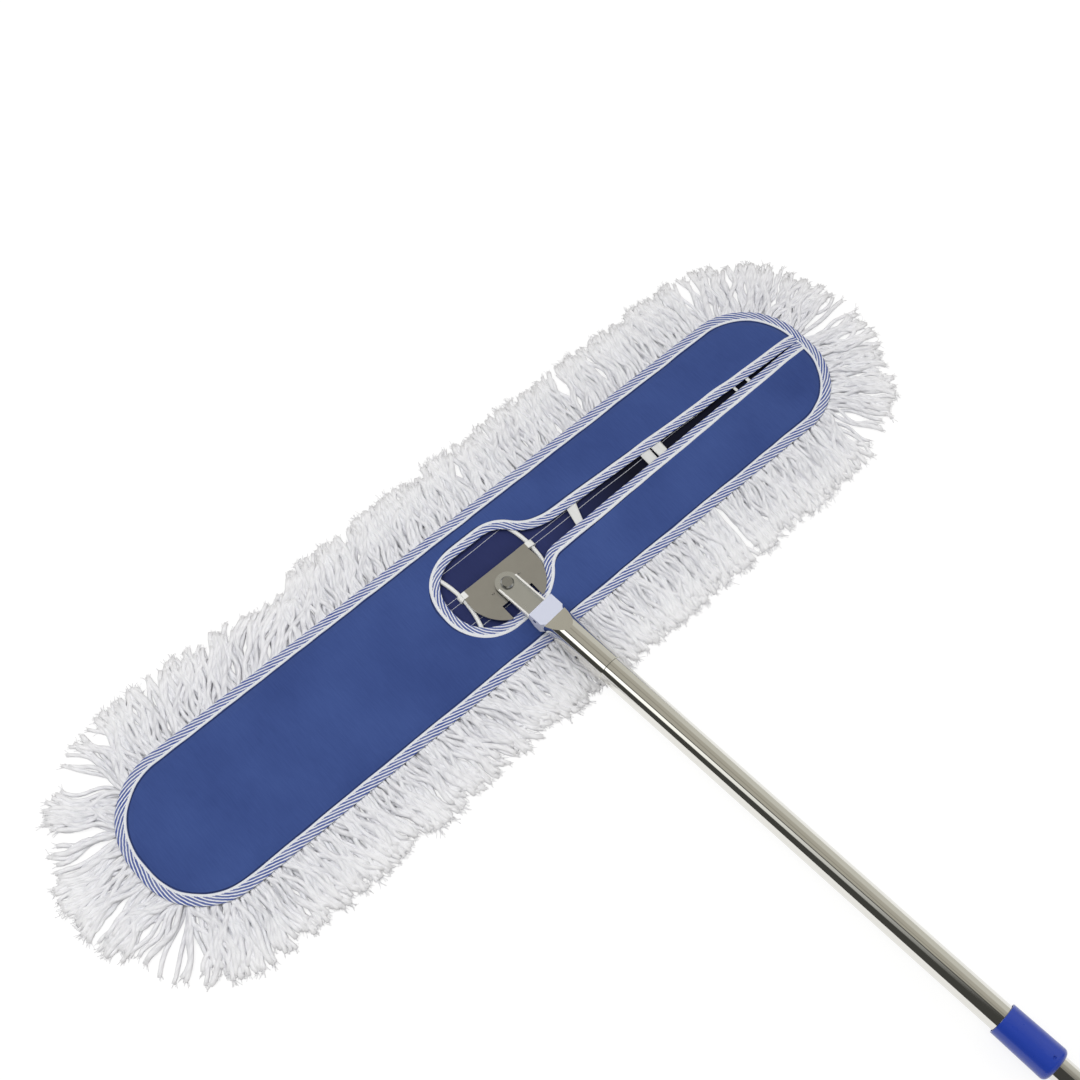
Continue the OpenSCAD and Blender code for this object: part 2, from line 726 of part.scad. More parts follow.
module upper_tube() {
  color("silver") on_handle() difference() {
    rod(upper_s + run_gap, upper_end, upper_d);
    rod(upper_s - overrun, upper_end + overrun, upper_bore_d);
  }
}

// Ribbed hand grip that ends in a flat eye with a hanging hole
module hand_grip() {
  color("mediumblue") on_handle() difference() {
    union() {
      lay(grip_s) rotate_extrude() polygon(concat(
        [[0, 0]],
        [for (step = [0 : grip_steps]) let (share = step / grip_steps)
          [grip_radius(share), share * (grip_l - eye_r)]],
        [[0, grip_l - eye_r]]
      ));
      translate([eye_s, 0, 0]) sphere(eye_r);
    }
    for (turn = [0, 180]) rotate([turn, 0, 0]) translate([grip_end - eye_pass_l, -grip_r * 2, eye_t / 2])
      cube([2 * eye_pass_l, grip_r * 4, grip_r]);
    translate([eye_s, 0, 0]) cylinder(d = hang_d, h = 2 * eye_t, center = true);
    rod(grip_s - overrun, upper_end + seat_gap, upper_d + 2 * seat_gap);
  }
}

sole_yarn();
yarn_fringe();
base_cloth();
top_cover();
edge_binding();
keyhole_binding();
slot_ties();
wire_loop();
cross_wires();
swivel_plate();
backing_washer();
spacer_washer();
swivel_rivet();
swivel_bracket();
hinge_block();
hinge_pin();
handle_sleeve();
sleeve_rivet();
lower_tube();
collet_ferrule();
lock_collar();
glide_bush();
upper_tube();
hand_grip();
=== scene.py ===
"""Looks of a wide dust mop: yarn fringe, canvas head, steel coupling and telescopic handle."""

import json
import logging
import math
from dataclasses import dataclass, field
from enum import Enum
from typing import Any

import bpy
import numpy as np
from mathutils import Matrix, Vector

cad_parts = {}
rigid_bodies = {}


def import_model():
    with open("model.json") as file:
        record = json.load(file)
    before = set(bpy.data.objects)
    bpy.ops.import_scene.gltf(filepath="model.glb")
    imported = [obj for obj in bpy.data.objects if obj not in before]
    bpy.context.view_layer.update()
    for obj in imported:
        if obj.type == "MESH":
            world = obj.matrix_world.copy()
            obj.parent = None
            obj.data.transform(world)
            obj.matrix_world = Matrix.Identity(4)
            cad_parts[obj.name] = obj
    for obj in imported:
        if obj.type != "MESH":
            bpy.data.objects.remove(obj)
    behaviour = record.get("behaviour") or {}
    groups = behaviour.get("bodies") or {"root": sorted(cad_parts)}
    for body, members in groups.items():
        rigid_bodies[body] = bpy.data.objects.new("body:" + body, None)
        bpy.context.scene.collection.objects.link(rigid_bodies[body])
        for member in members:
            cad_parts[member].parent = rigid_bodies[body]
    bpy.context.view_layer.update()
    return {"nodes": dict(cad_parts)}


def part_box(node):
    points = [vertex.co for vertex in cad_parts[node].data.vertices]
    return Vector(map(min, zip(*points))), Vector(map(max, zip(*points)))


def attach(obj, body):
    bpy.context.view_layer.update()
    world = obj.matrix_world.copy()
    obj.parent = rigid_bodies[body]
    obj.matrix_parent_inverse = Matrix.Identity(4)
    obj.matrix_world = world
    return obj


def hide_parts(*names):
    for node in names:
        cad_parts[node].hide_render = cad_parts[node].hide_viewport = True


MM = 0.001
LOG = logging.getLogger("dust_mop")
HEAD_BODY = "head"
SIDES = 6
RING = np.arange(SIDES) * math.tau / SIDES
TURN_SHARE = 0.999
Color = tuple[float, float, float]
WHITE: Color = (1.0, 1.0, 1.0)


class Slot(str, Enum):
    """The record's material slots of the sewn pieces."""

    YARN = "yarn"
    COVER = "cover_canvas"
    BASE = "base_canvas"
    BINDING = "binding_tape"
    TIE = "tie_tape"


class Hold(str, Enum):
    """How a sheet of cloth is held."""

    STRETCHED = "stretched"
    LAID = "laid"


class Signal:
    """A shader socket that takes part in Python arithmetic."""

    def __init__(self, graph: "Graph", socket: bpy.types.NodeSocket) -> None:
        """Keeps the socket and the graph that new Math nodes go into."""
        self.graph = graph
        self.socket = socket

    def math(self, operation: str, *others: "Signal | float") -> "Signal":
        """Returns the result of one Math node on this signal and the others."""
        return self.graph.node("ShaderNodeMath", {"operation": operation}, [self, *others])

    def __add__(self, other: "Signal | float") -> "Signal":
        """Sum of two values."""
        return self.math("ADD", other)

    def __sub__(self, other: "Signal | float") -> "Signal":
        """Difference of two values."""
        return self.math("SUBTRACT", other)

    def __rsub__(self, other: float) -> "Signal":
        """Difference of a number and this value."""
        return self.graph.node("ShaderNodeMath", {"operation": "SUBTRACT"}, [other, self])

    def __mul__(self, other: "Signal | float") -> "Signal":
        """Product of two values."""
        return self.math("MULTIPLY", other)

    def __truediv__(self, other: "Signal | float") -> "Signal":
        """Quotient of two values."""
        return self.math("DIVIDE", other)

    __radd__ = __add__
    __rmul__ = __mul__

    def wave(self, period: float) -> "Signal":
        """Smooth wave from 0 to 1 with the given period."""
        return (self * (math.tau / period)).math("SINE") * 0.5 + 0.5

    def band(self, middle: float, half: float, soft: float) -> "Signal":
        """One inside middle +- half, falling to zero over the soft width outside it."""
        away = (self - middle).math("ABSOLUTE")
        return self.graph.clamp(1 - (away - half) / soft)


class Graph:
    """A material's or world's node tree with one way to add any node."""

    def __init__(self, owner: bpy.types.Material | bpy.types.World) -> None:
        """Empties the owner's node tree and keeps it."""
        owner.use_nodes = True
        self.tree = owner.node_tree
        self.tree.nodes.clear()

    def node(self, kind: str, settings: dict[str, Any] | None = None,
             inputs: dict[str | int, Any] | list | None = None, output: str | int = 0) -> Signal | None:
        """Adds one node.

        Args:
            kind: The node's type.
            settings: Properties, set first.
            inputs: Values or signals by the socket's name or number, or in order.
            output: Name or number of the output to return.

        Returns:
            The chosen output, or None from a node without outputs.
        """
        made = self.tree.nodes.new(kind)
        for key, value in (settings or {}).items():
            setattr(made, key, value)
        pairs = inputs.items() if isinstance(inputs, dict) else enumerate(inputs or [])
        for key, value in pairs:
            self.feed(made.inputs[key], value)
        return Signal(self, made.outputs[output]) if made.outputs else None

    def feed(self, socket: bpy.types.NodeSocket, value: Any) -> None:
        """Links a signal to a socket, or sets a plain value on it."""
        if isinstance(value, Signal):
            self.tree.links.new(value.socket, socket)
        elif isinstance(value, tuple) and socket.type == "RGBA":
            socket.default_value = (*value, 1.0)
        else:
            socket.default_value = value

    def clamp(self, value: Signal) -> Signal:
        """Keeps a value between 0 and 1."""
        return self.node("ShaderNodeClamp", None, [value])

    def mix(self, share: Signal | float, first: Any, second: Any) -> Signal:
        """Blends two colours by a share."""
        settings = {"data_type": "RGBA", "clamp_factor": True}
        return self.node("ShaderNodeMix", settings, {0: share, 6: first, 7: second}, 2)

    def place(self) -> Signal:
        """Object coordinates, in metres."""
        return self.node("ShaderNodeTexCoord", None, None, "Object")

    def parts(self, vector: Signal) -> list[Signal]:
        """The three parts of a vector."""
        made = self.tree.nodes.new("ShaderNodeSeparateXYZ")
        self.feed(made.inputs[0], vector)
        return [Signal(self, out) for out in made.outputs]

    def uv(self) -> list[Signal]:
        """The piece's own UV map as two values."""
        return self.parts(self.node("ShaderNodeUVMap", {"uv_map": "UVMap"}))[:2]

    def ray(self, kind: str) -> Signal:
        """One on rays of the kind that an output of Light Path names."""
        return self.node("ShaderNodeLightPath", None, None, kind)

    def noise(self, scale: float, detail: float = 3.0, vector: Signal | None = None) -> Signal:
        """Fractal noise from 0 to 1, with scale in cells per metre."""
        inputs = {"Vector": vector or self.place(), "Scale": scale, "Detail": detail}
        return self.node("ShaderNodeTexNoise", None, inputs, "Fac")

    def scaled(self, vector: Signal, factors: tuple[float, float, float]) -> Signal:
        """A vector stretched along its axes."""
        return self.node("ShaderNodeVectorMath", {"operation": "MULTIPLY"}, [vector, factors])

    def bump(self, height: Signal, strength: float, distance: float) -> Signal:
        """A normal that follows a height, with distance in metres."""
        inputs = {"Strength": strength, "Distance": distance, "Height": height}
        return self.node("ShaderNodeBump", None, inputs)

    def surface(self, inputs: dict[str, Any]) -> None:
        """Ends the graph in one Principled shader."""
        shader = self.node("ShaderNodeBsdfPrincipled", None, inputs)
        self.node("ShaderNodeOutputMaterial", None, {"Surface": shader})


def new_graph(name: str) -> tuple[bpy.types.Material, Graph]:
    """Makes an empty material and its graph."""
    material = bpy.data.materials.new(name)
    return material, Graph(material)


@dataclass(frozen=True)
class YarnFinish:
    """Soft twisted yarn: plies wind round each strand, with fuzz between them."""

    name: str = "yarn"
    light: Color = (0.81, 0.815, 0.85)
    # Dark end of the colour: painted shade in the ply grooves, and random tone.
    darkening: Color = (0.52, 0.525, 0.57)
    # Painted light: towards their tips the strands turn to this paler colour.
    pale: Color = (0.90, 0.90, 0.915)
    pale_from: float = 35 * MM
    pale_over: float = 40 * MM
    pale_share: float = 0.6
    ply_pitch: float = 13 * MM
    ply_depth: float = 0.5 * MM
    plies: float = 3.0
    ply_shade_share: float = 0.40
    fuzz_scale: float = 900.0
    tone_scale: float = 35.0

    def make(self) -> bpy.types.Material:
        """Builds the material from the strand's own UV: metres along it, and its number plus turns."""
        material, g = new_graph(self.name)
        along, around = g.uv()
        number = around.math("FLOOR")
        own = g.node("ShaderNodeTexWhiteNoise", {"noise_dimensions": "1D"}, {"W": number}, "Value")
        ply = (around * self.plies + along / self.ply_pitch).wave(1.0)
        fuzz = g.noise(self.fuzz_scale, 4.0)
        tone = g.noise(self.tone_scale, 2.0)
        # Painted shade in the grooves between the plies, plus random tone by place and by strand.
        darkening = g.clamp((0.55 - ply) * 1.6) * self.ply_shade_share
        darkening = darkening + (fuzz - 0.5) * 0.35 + (tone - 0.5) * 0.3 + (own - 0.4) * 0.45
        color = g.mix(g.clamp(darkening), self.light, self.darkening)
        height = ply * 0.75 + fuzz * 0.25
        # Painted light: the strands turn paler towards their tips.
        tip = g.clamp((along - self.pale_from) / self.pale_over)
        g.surface({
            "Base Color": g.mix(tip * self.pale_share, color, self.pale),
            "Roughness": 0.95,
            "Sheen Weight": 0.25,
            "Sheen Roughness": 0.6,
            "Specular IOR Level": 0.15,
            "Normal": g.bump(height, 0.4, self.ply_depth),
        })
        return material


@dataclass(frozen=True)
class CanvasFinish:
    """Plain-weave canvas: threads both ways, slow shades, soft creases, some lint and painted shade at one
    end.
    """

    name: str
    light: Color
    dark: Color
    thread: float = 0.8 * MM
    depth: float = 0.9 * MM
    shade_scale: float = 12.0
    slub_scales: tuple[float, float, float] = (900.0, 60.0, 60.0)
    crease_scales: tuple[float, float, float] = (30.0, 66.0, 30.0)
    lint: Color = (0.55, 0.57, 0.66)
    lint_share: float = 0.72
    lint_scale: float = 21.0
    lint_cells: float = 0.012
    # Painted shade: a thin dark line at each of these distances, beside the tapes.
    seams: tuple[float, ...] = ()
    seam_shade_half: float = 0.3 * MM
    seam_shade_soft: float = 0.8 * MM
    seam_shade_color: Color = (0.010, 0.014, 0.050)
    # Painted shade: the cloth darkens along +x from a start, over a length, to this colour.
    end_shade_from: float = 0.0
    end_shade_over: float = 120 * MM
    end_shade: Color = (0.005, 0.006, 0.016)

    def make(self) -> bpy.types.Material:
        """Builds the material from Object coordinates, and painted shade lines along the seams from the
        sheet's own UV.
        """
        material, g = new_graph(self.name)
        x, y, _z = g.parts(g.place())
        weave = x.wave(self.thread) * 0.5 + y.wave(self.thread) * 0.5
        slub = g.noise(1.0, 2.0, g.scaled(g.place(), self.slub_scales))
        shade = g.noise(self.shade_scale, 5.0)
        crease = g.noise(1.0, 5.0, g.scaled(g.place(), self.crease_scales))
        cells = {"Vector": g.place(), "Scale": self.lint_scale}
        fleck, cell = (g.node("ShaderNodeTexVoronoi", None, cells, output)
                       for output in ("Distance", "Color"))
        chosen = g.clamp((g.parts(cell)[0] - self.lint_share) * 30)
        speck = g.clamp((self.lint_cells - fleck) * 200) * chosen
        tone = g.clamp(shade * 1.3 - 0.25 + (slub - 0.5) * 0.5 + (weave - 0.5) * 0.25)
        base = g.mix(tone, self.dark, self.light)
        # Painted shade: a thin dark line along each seam beside the tapes.
        for distance, seam in zip(g.uv() if self.seams else (), self.seams):
            darkening = distance.band(seam, self.seam_shade_half, self.seam_shade_soft)
            base = g.mix(darkening * (shade + 0.2), base, self.seam_shade_color)
        # Painted shade: darker along +x, towards the slot's tip.
        if self.end_shade_from:
            base = g.mix((x - self.end_shade_from) / self.end_shade_over, base, self.end_shade)
        g.surface({
            "Base Color": g.mix(speck * 0.6, base, self.lint),
            "Roughness": 0.88,
            "Sheen Weight": 0.08,
            "Specular IOR Level": 0.2,
            "Normal": g.bump(weave * 0.2 + crease * 0.9 + slub * 0.1, 0.35, self.depth),
        })
        return material


@dataclass(frozen=True)
class TwillFinish:
    """Twill tape: slanted blue and white ribs beside a white selvedge, with a row of stitches."""

    name: str
    selvedge_from: float
    selvedge_to: float
    stitch_at: float
    white: Color = (0.74, 0.76, 0.80)
    blue: Color = (0.050, 0.085, 0.31)
    slant: float = math.radians(17)
    rib: float = 2.9 * MM
    depth: float = 0.35 * MM
    weft: float = 0.9 * MM
    selvedge_soft: float = 0.4 * MM
    stitch: float = 3.2 * MM
    stitch_half: float = 0.25 * MM
    stitch_soft: float = 0.15 * MM

    def make(self) -> bpy.types.Material:
        """Builds the material from the tape's own UV: along it and across it, in metres."""
        material, g = new_graph(self.name)
        along, across = g.uv()
        wander = (g.noise(260.0, 2.0) - 0.5) * 0.35
        rib = (across * math.cos(self.slant) - along * math.sin(self.slant)) / self.rib + wander
        stripe = g.clamp((rib.wave(1.0) - 0.20) * 4.0)
        middle = (self.selvedge_from + self.selvedge_to) / 2
        half = (self.selvedge_to - self.selvedge_from) / 2
        selvedge = across.band(middle, half, self.selvedge_soft)
        weft = along.wave(self.weft)
        stitches = g.clamp((along.wave(self.stitch) - 0.3) * 6)
        thread = across.band(self.stitch_at, self.stitch_half, self.stitch_soft) * stitches
        fade = g.noise(70.0, 3.0)
        blue = stripe * (1 - selvedge) * (0.72 + fade * 0.4) * (1 - thread * 0.7)
        height = (1 - stripe) * (1 - selvedge) * 0.5 + weft * 0.2 + thread * 0.5 + selvedge * 0.4
        g.surface({
            "Base Color": g.mix(g.clamp(blue), self.white, self.blue),
            "Roughness": 0.85,
            "Specular IOR Level": 0.2,
            "Normal": g.bump(height, 0.6, self.depth),
        })
        return material


@dataclass(frozen=True)
class MetalFinish:
    """Stainless steel: fine lines along one axis, smudges, wear and, on some pieces, pale spots."""

    name: str
    color: Color
    worn: Color
    roughness: float
    spread: float
    line_scales: tuple[float, float, float] = (1500.0, 1500.0, 40.0)
    line_depth: float = 0.02 * MM
    spot_color: Color = (0.78, 0.79, 0.78)
    spot_matt: float = 1.0
    spot_soft: float = 0.3 * MM
    spot_rise: float = 0.5 * MM

    def spot(self, g: Graph) -> Signal | None:
        """One where the metal is covered or carries a painted highlight, or None where it is the same all
        over.
        """
        return None

    def make(self) -> bpy.types.Material:
        """Builds the material from Object coordinates."""
        material, g = new_graph(self.name)
        lines = g.noise(1.0, 2.0, g.scaled(g.place(), self.line_scales))
        smudge = g.noise(24.0, 4.0)
        mottle = g.noise(110.0, 3.0)
        shade = g.clamp(smudge * 0.8 + (mottle - 0.5) * 0.5 + (lines - 0.5) * 0.3)
        color = g.mix(shade, self.color, self.worn)
        uneven = (smudge - 0.5) + (lines - 0.5) * 0.6
        spot = self.spot(g)
        g.surface({
            "Base Color": g.mix(spot, color, self.spot_color) if spot else color,
            "Metallic": 1 - spot * self.spot_matt if spot else 1.0,
            "Roughness": g.clamp(self.roughness + uneven * self.spread),
            "Normal": g.bump(lines * 0.8 + mottle * 0.2, 0.15, self.line_depth),
        })
        return material


@dataclass(frozen=True)
class DippedSheetFinish(MetalFinish):
    """Satin sheet whose two curled lugs are dipped in the white coating of the wires."""

    lug_mid: tuple[float, float] = (8.6 * MM, 9.6 * MM)
    lug_reach: float = 40.5 * MM
    lug_half: float = 3.8 * MM

    def spot(self, g: Graph) -> Signal:
        """One where both lugs lie."""
        x, y, _z = g.parts(g.place())
        out = g.clamp(((x - self.lug_mid[0]).math("ABSOLUTE") - self.lug_reach) / self.spot_rise)
        return out * y.band(self.lug_mid[1], self.lug_half, self.spot_soft)


@dataclass(frozen=True)
class RailedSheetFinish(MetalFinish):
    """Satin sheet bent up at both sides, with a painted highlight on the rails."""

    rail_mid: tuple[float, float] = (5.6 * MM, -10.6 * MM)
    rail_yaw: float = math.radians(4.2)
    rail_out: float = 11.9 * MM
    rail_half: float = 0.9 * MM
    rail_low: float = 0.0

    def spot(self, g: Graph) -> Signal:
        """One on both rails, above the sheet's floor, where the highlight is painted."""
        x, y, z = g.parts(g.place())
        right = (x - self.rail_mid[0]) * math.cos(self.rail_yaw)
        aside = right + (y - self.rail_mid[1]) * math.sin(self.rail_yaw)
        rail = aside.math("ABSOLUTE").band(self.rail_out, self.rail_half, self.spot_soft)
        return rail * g.clamp((z - self.rail_low) / self.spot_rise)


@dataclass(frozen=True)
class PlasticFinish:
    """Moulded plastic: faint flow marks, fine grain and scuffs."""

    name: str
    color: Color
    scuffed: Color
    roughness: float
    coat: float = 0.0
    grain: float = 600.0
    grain_depth: float = 0.05 * MM
    flow_scale: float = 30.0
    scuff_scale: float = 90.0

    def make(self) -> bpy.types.Material:
        """Builds the material from Object coordinates."""
        material, g = new_graph(self.name)
        grain = g.noise(self.grain, 3.0)
        flow = g.noise(self.flow_scale, 3.0)
        scuff = g.clamp((g.noise(self.scuff_scale, 6.0) - 0.62) * 5)
        g.surface({
            "Base Color": g.mix(g.clamp(flow * 0.5 + scuff * 0.5 - 0.1), self.color, self.scuffed),
            "Roughness": g.clamp(self.roughness + (grain - 0.5) * 0.12 + scuff * 0.15),
            "Coat Weight": self.coat,
            "Coat Roughness": 0.06,
            "Normal": g.bump(grain, 0.12, self.grain_depth),
        })
        return material


def merged(*parts: np.ndarray) -> np.ndarray:
    """Stretches arrays to one shape and joins them along a new last axis."""
    return np.stack(np.broadcast_arrays(*parts), axis=-1)


def eased(share: np.ndarray) -> np.ndarray:
    """A share from 0 to 1 that starts and ends gently."""
    return share * share * (3 - 2 * share)


def add_object(name: str, data: bpy.types.ID) -> bpy.types.Object:
    """Puts a new object with the given data in the scene."""
    obj = bpy.data.objects.new(name, data)
    bpy.context.scene.collection.objects.link(obj)
    return obj


@dataclass
class Surface:
    """Points, four-cornered faces and the UV of each face corner."""

    points: np.ndarray
    faces: np.ndarray
    uv: np.ndarray

    @classmethod
    def lattice(cls, points: np.ndarray, along: np.ndarray, across: np.ndarray,
                wrapped: bool = False) -> "Surface":
        """Joins a lattice of points into quads.

        Args:
            points: Array of rows by columns by 3.
            along: First UV value, by row and column, with one more row if the rows wrap.
            across: Second UV value, by row and column, with one more row if the rows wrap.
            wrapped: Whether the last row joins the first.

        Returns:
            The surface, whose normal is along cross across.
        """
        rows, cols = points.shape[:2]
        i = np.arange(rows if wrapped else rows - 1)[:, None]
        j = np.arange(cols - 1)[None, :]
        corners = [(i, j), (i + 1, j), (i + 1, j + 1), (i, j + 1)]
        faces = merged(*[(a % rows) * cols + b for a, b in corners]).reshape(-1, 4)
        values = merged(along, across)
        uv = np.stack([values[a, b] for a, b in corners], axis=2).reshape(-1, 4, 2)
        return cls(points.reshape(-1, 3), faces, uv)

    @classmethod
    def strands(cls, rings: np.ndarray, along: np.ndarray) -> "Surface":
        """Joins many six-sided tubes at once, with both ends closed.

        Args:
            rings: Array of strands by rings by 6 by 3.
            along: First UV value of each ring, strands by rings, in metres.

        Returns:
            One surface with all the strands. Its second UV value is the strand's number plus turns.
        """
        count, length, sides = rings.shape[:3]
        k = np.arange(count)[:, None, None] * length * sides
        i = np.arange(length - 1)[None, :, None]
        j = np.arange(sides)[None, None, :]
        corners = [(i, j), (i, j + 1), (i + 1, j + 1), (i + 1, j)]
        faces = np.stack([k + a * sides + b % sides for a, b in corners], axis=-1).reshape(-1, 4)
        strand = np.arange(count)[:, None, None]
        uv = [merged(along[strand, a], strand + b * TURN_SHARE / sides) for a, b in corners]
        uv = np.stack(uv, axis=3).reshape(-1, 4, 2)
        first = np.array([[3, 2, 1, 0], [5, 4, 3, 0]])
        last = first[:, ::-1] + (length - 1) * sides
        caps = (np.concatenate([first, last])[None] + k).reshape(-1, 4)
        cap_uv = np.broadcast_to(np.arange(count)[:, None, None] + 0.5, (count, 4, 4)).reshape(-1, 4, 1)
        cap_uv = np.concatenate([0 * cap_uv, cap_uv], axis=-1)
        return cls(rings.reshape(-1, 3), np.concatenate([faces, caps]), np.concatenate([uv, cap_uv]))

    def flipped(self) -> "Surface":
        """Returns this surface facing the other way."""
        return Surface(self.points, self.faces[:, ::-1], self.uv[:, ::-1])

    def joined(self, *others: "Surface") -> "Surface":
        """Returns this surface and the others as one."""
        every = [self, *others]
        starts = np.cumsum([0] + [len(s.points) for s in every[:-1]])
        return Surface(np.concatenate([s.points for s in every]),
                       np.concatenate([s.faces + n for s, n in zip(every, starts)]),
                       np.concatenate([s.uv for s in every]))

    def piece(self, name: str, material: bpy.types.Material, slot: Slot,
              *replaced: str) -> bpy.types.Object:
        """Makes a smooth mesh piece that rides on the head.

        Args:
            name: The piece's name.
            material: Its finish.
            slot: The record's material slot; not used.
            replaced: CAD nodes that it stands for.

        Returns:
            The new object.
        """
        mesh = bpy.data.meshes.new(name)
        mesh.vertices.add(len(self.points))
        mesh.vertices.foreach_set("co", self.points.astype(np.float32).ravel())
        mesh.loops.add(self.faces.size)
        mesh.loops.foreach_set("vertex_index", self.faces.astype(np.int32).ravel())
        mesh.polygons.add(len(self.faces))
        mesh.polygons.foreach_set("loop_start", np.arange(0, self.faces.size, 4, dtype=np.int32))
        mesh.update(calc_edges=True)
        layer = mesh.uv_layers.new(name="UVMap")
        layer.data.foreach_set("uv", self.uv.astype(np.float32).ravel())
        mesh.polygons.foreach_set("use_smooth", np.ones(len(self.faces), dtype=bool))
        mesh.materials.append(material)
        obj = add_object(name, mesh)
        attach(obj, HEAD_BODY)
        if replaced:
            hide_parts(*replaced)
        LOG.info("%s: %d faces", name, len(self.faces))
        return obj


def thicken(obj: bpy.types.Object, thickness: float) -> bpy.types.Object:
    """Gives a sheet its thickness below its drawn face, and returns it."""
    modifier = obj.modifiers.new("thickness", "SOLIDIFY")
    modifier.thickness = thickness
    modifier.offset = -1.0
    return obj


def ripple(place: np.ndarray, period: float, seed: int, terms: int = 4) -> np.ndarray:
    """Smooth noise along one line: a sum of sines with periods near the given one.

    Args:
        place: Places along the line.
        period: Rough distance between crests.
        seed: Seed of the phases.
        terms: Number of sines.

    Returns:
        Values mostly between -1 and 1.
    """
    rng = np.random.default_rng(seed)
    periods = period * rng.uniform(0.6, 1.7, terms)
    phases = rng.uniform(0, math.tau, terms)
    waves = np.sin(math.tau * np.asarray(place)[..., None] / periods + phases)
    return waves.sum(axis=-1) / math.sqrt(terms)


@dataclass
class Track:
    """A plan path with its outward normals and the distance along it."""

    points: np.ndarray
    normals: np.ndarray
    joins: list[float] = field(default_factory=list)

    def __post_init__(self) -> None:
        """Measures the distance along the path."""
        steps = np.linalg.norm(np.diff(self.points, axis=0), axis=1)
        self.along = np.concatenate([[0.0], np.cumsum(steps)])

    @property
    def length(self) -> float:
        """Whole length of the path."""
        return float(self.along[-1])

    def at(self, place: np.ndarray) -> tuple[np.ndarray, np.ndarray]:
        """Points and unit normals at distances along the path."""
        points, normals = (np.stack([np.interp(place, self.along, values) for values in part.T], axis=-1)
                           for part in (self.points, self.normals))
        return points, normals / np.linalg.norm(normals, axis=-1, keepdims=True)


class TrackMaker:
    """Joins arcs and straight runs into one track."""

    step = 1.5 * MM

    def __init__(self) -> None:
        """Starts with no points."""
        self.points: list[np.ndarray] = []
        self.normals: list[np.ndarray] = []
        self.joins: list[float] = []

    def arc(self, centre: tuple[float, float], radius: float, start: float, end: float,
            hollow: bool = False) -> "TrackMaker":
        """Adds an arc between two angles in degrees, preceded by a straight run to its start.

        Args:
            centre: Middle of the arc.
            radius: Its radius.
            start: First angle.
            end: Last angle.
            hollow: Whether the outward side faces the middle of the arc.

        Returns:
            This maker.
        """
        count = max(8, int(abs(math.radians(end - start)) * radius / self.step))
        angle = np.radians(np.linspace(start, end, count))
        ray = merged(np.cos(angle), np.sin(angle))
        return self._append(np.array(centre) + radius * ray, -ray if hollow else ray)

    def to(self, point: tuple[float, float], normal: tuple[float, float]) -> "TrackMaker":
        """Adds a straight run to a point with the given normal there."""
        return self._append(np.array([point]), np.array([normal]))

    def _append(self, points: np.ndarray, normals: np.ndarray) -> "TrackMaker":
        """Adds points after a straight run from the last one."""
        if self.points:
            start = self.points[-1][-1]
            count = max(1, int(np.linalg.norm(points[0] - start) / self.step))
            share = np.linspace(0, 1, count + 1)[1:-1, None]
            self.points.append(start + share * (points[0] - start))
            self.normals.append(self.normals[-1][-1] + share * (normals[0] - self.normals[-1][-1]))
        self.points.append(points)
        self.normals.append(normals)
        return self

    def mark(self) -> "TrackMaker":
        """Notes the distance reached so far."""
        self.joins.append(Track(np.concatenate(self.points), np.concatenate(self.normals)).length)
        return self

    def done(self) -> Track:
        """Returns the finished track."""
        return Track(np.concatenate(self.points), np.concatenate(self.normals), self.joins)


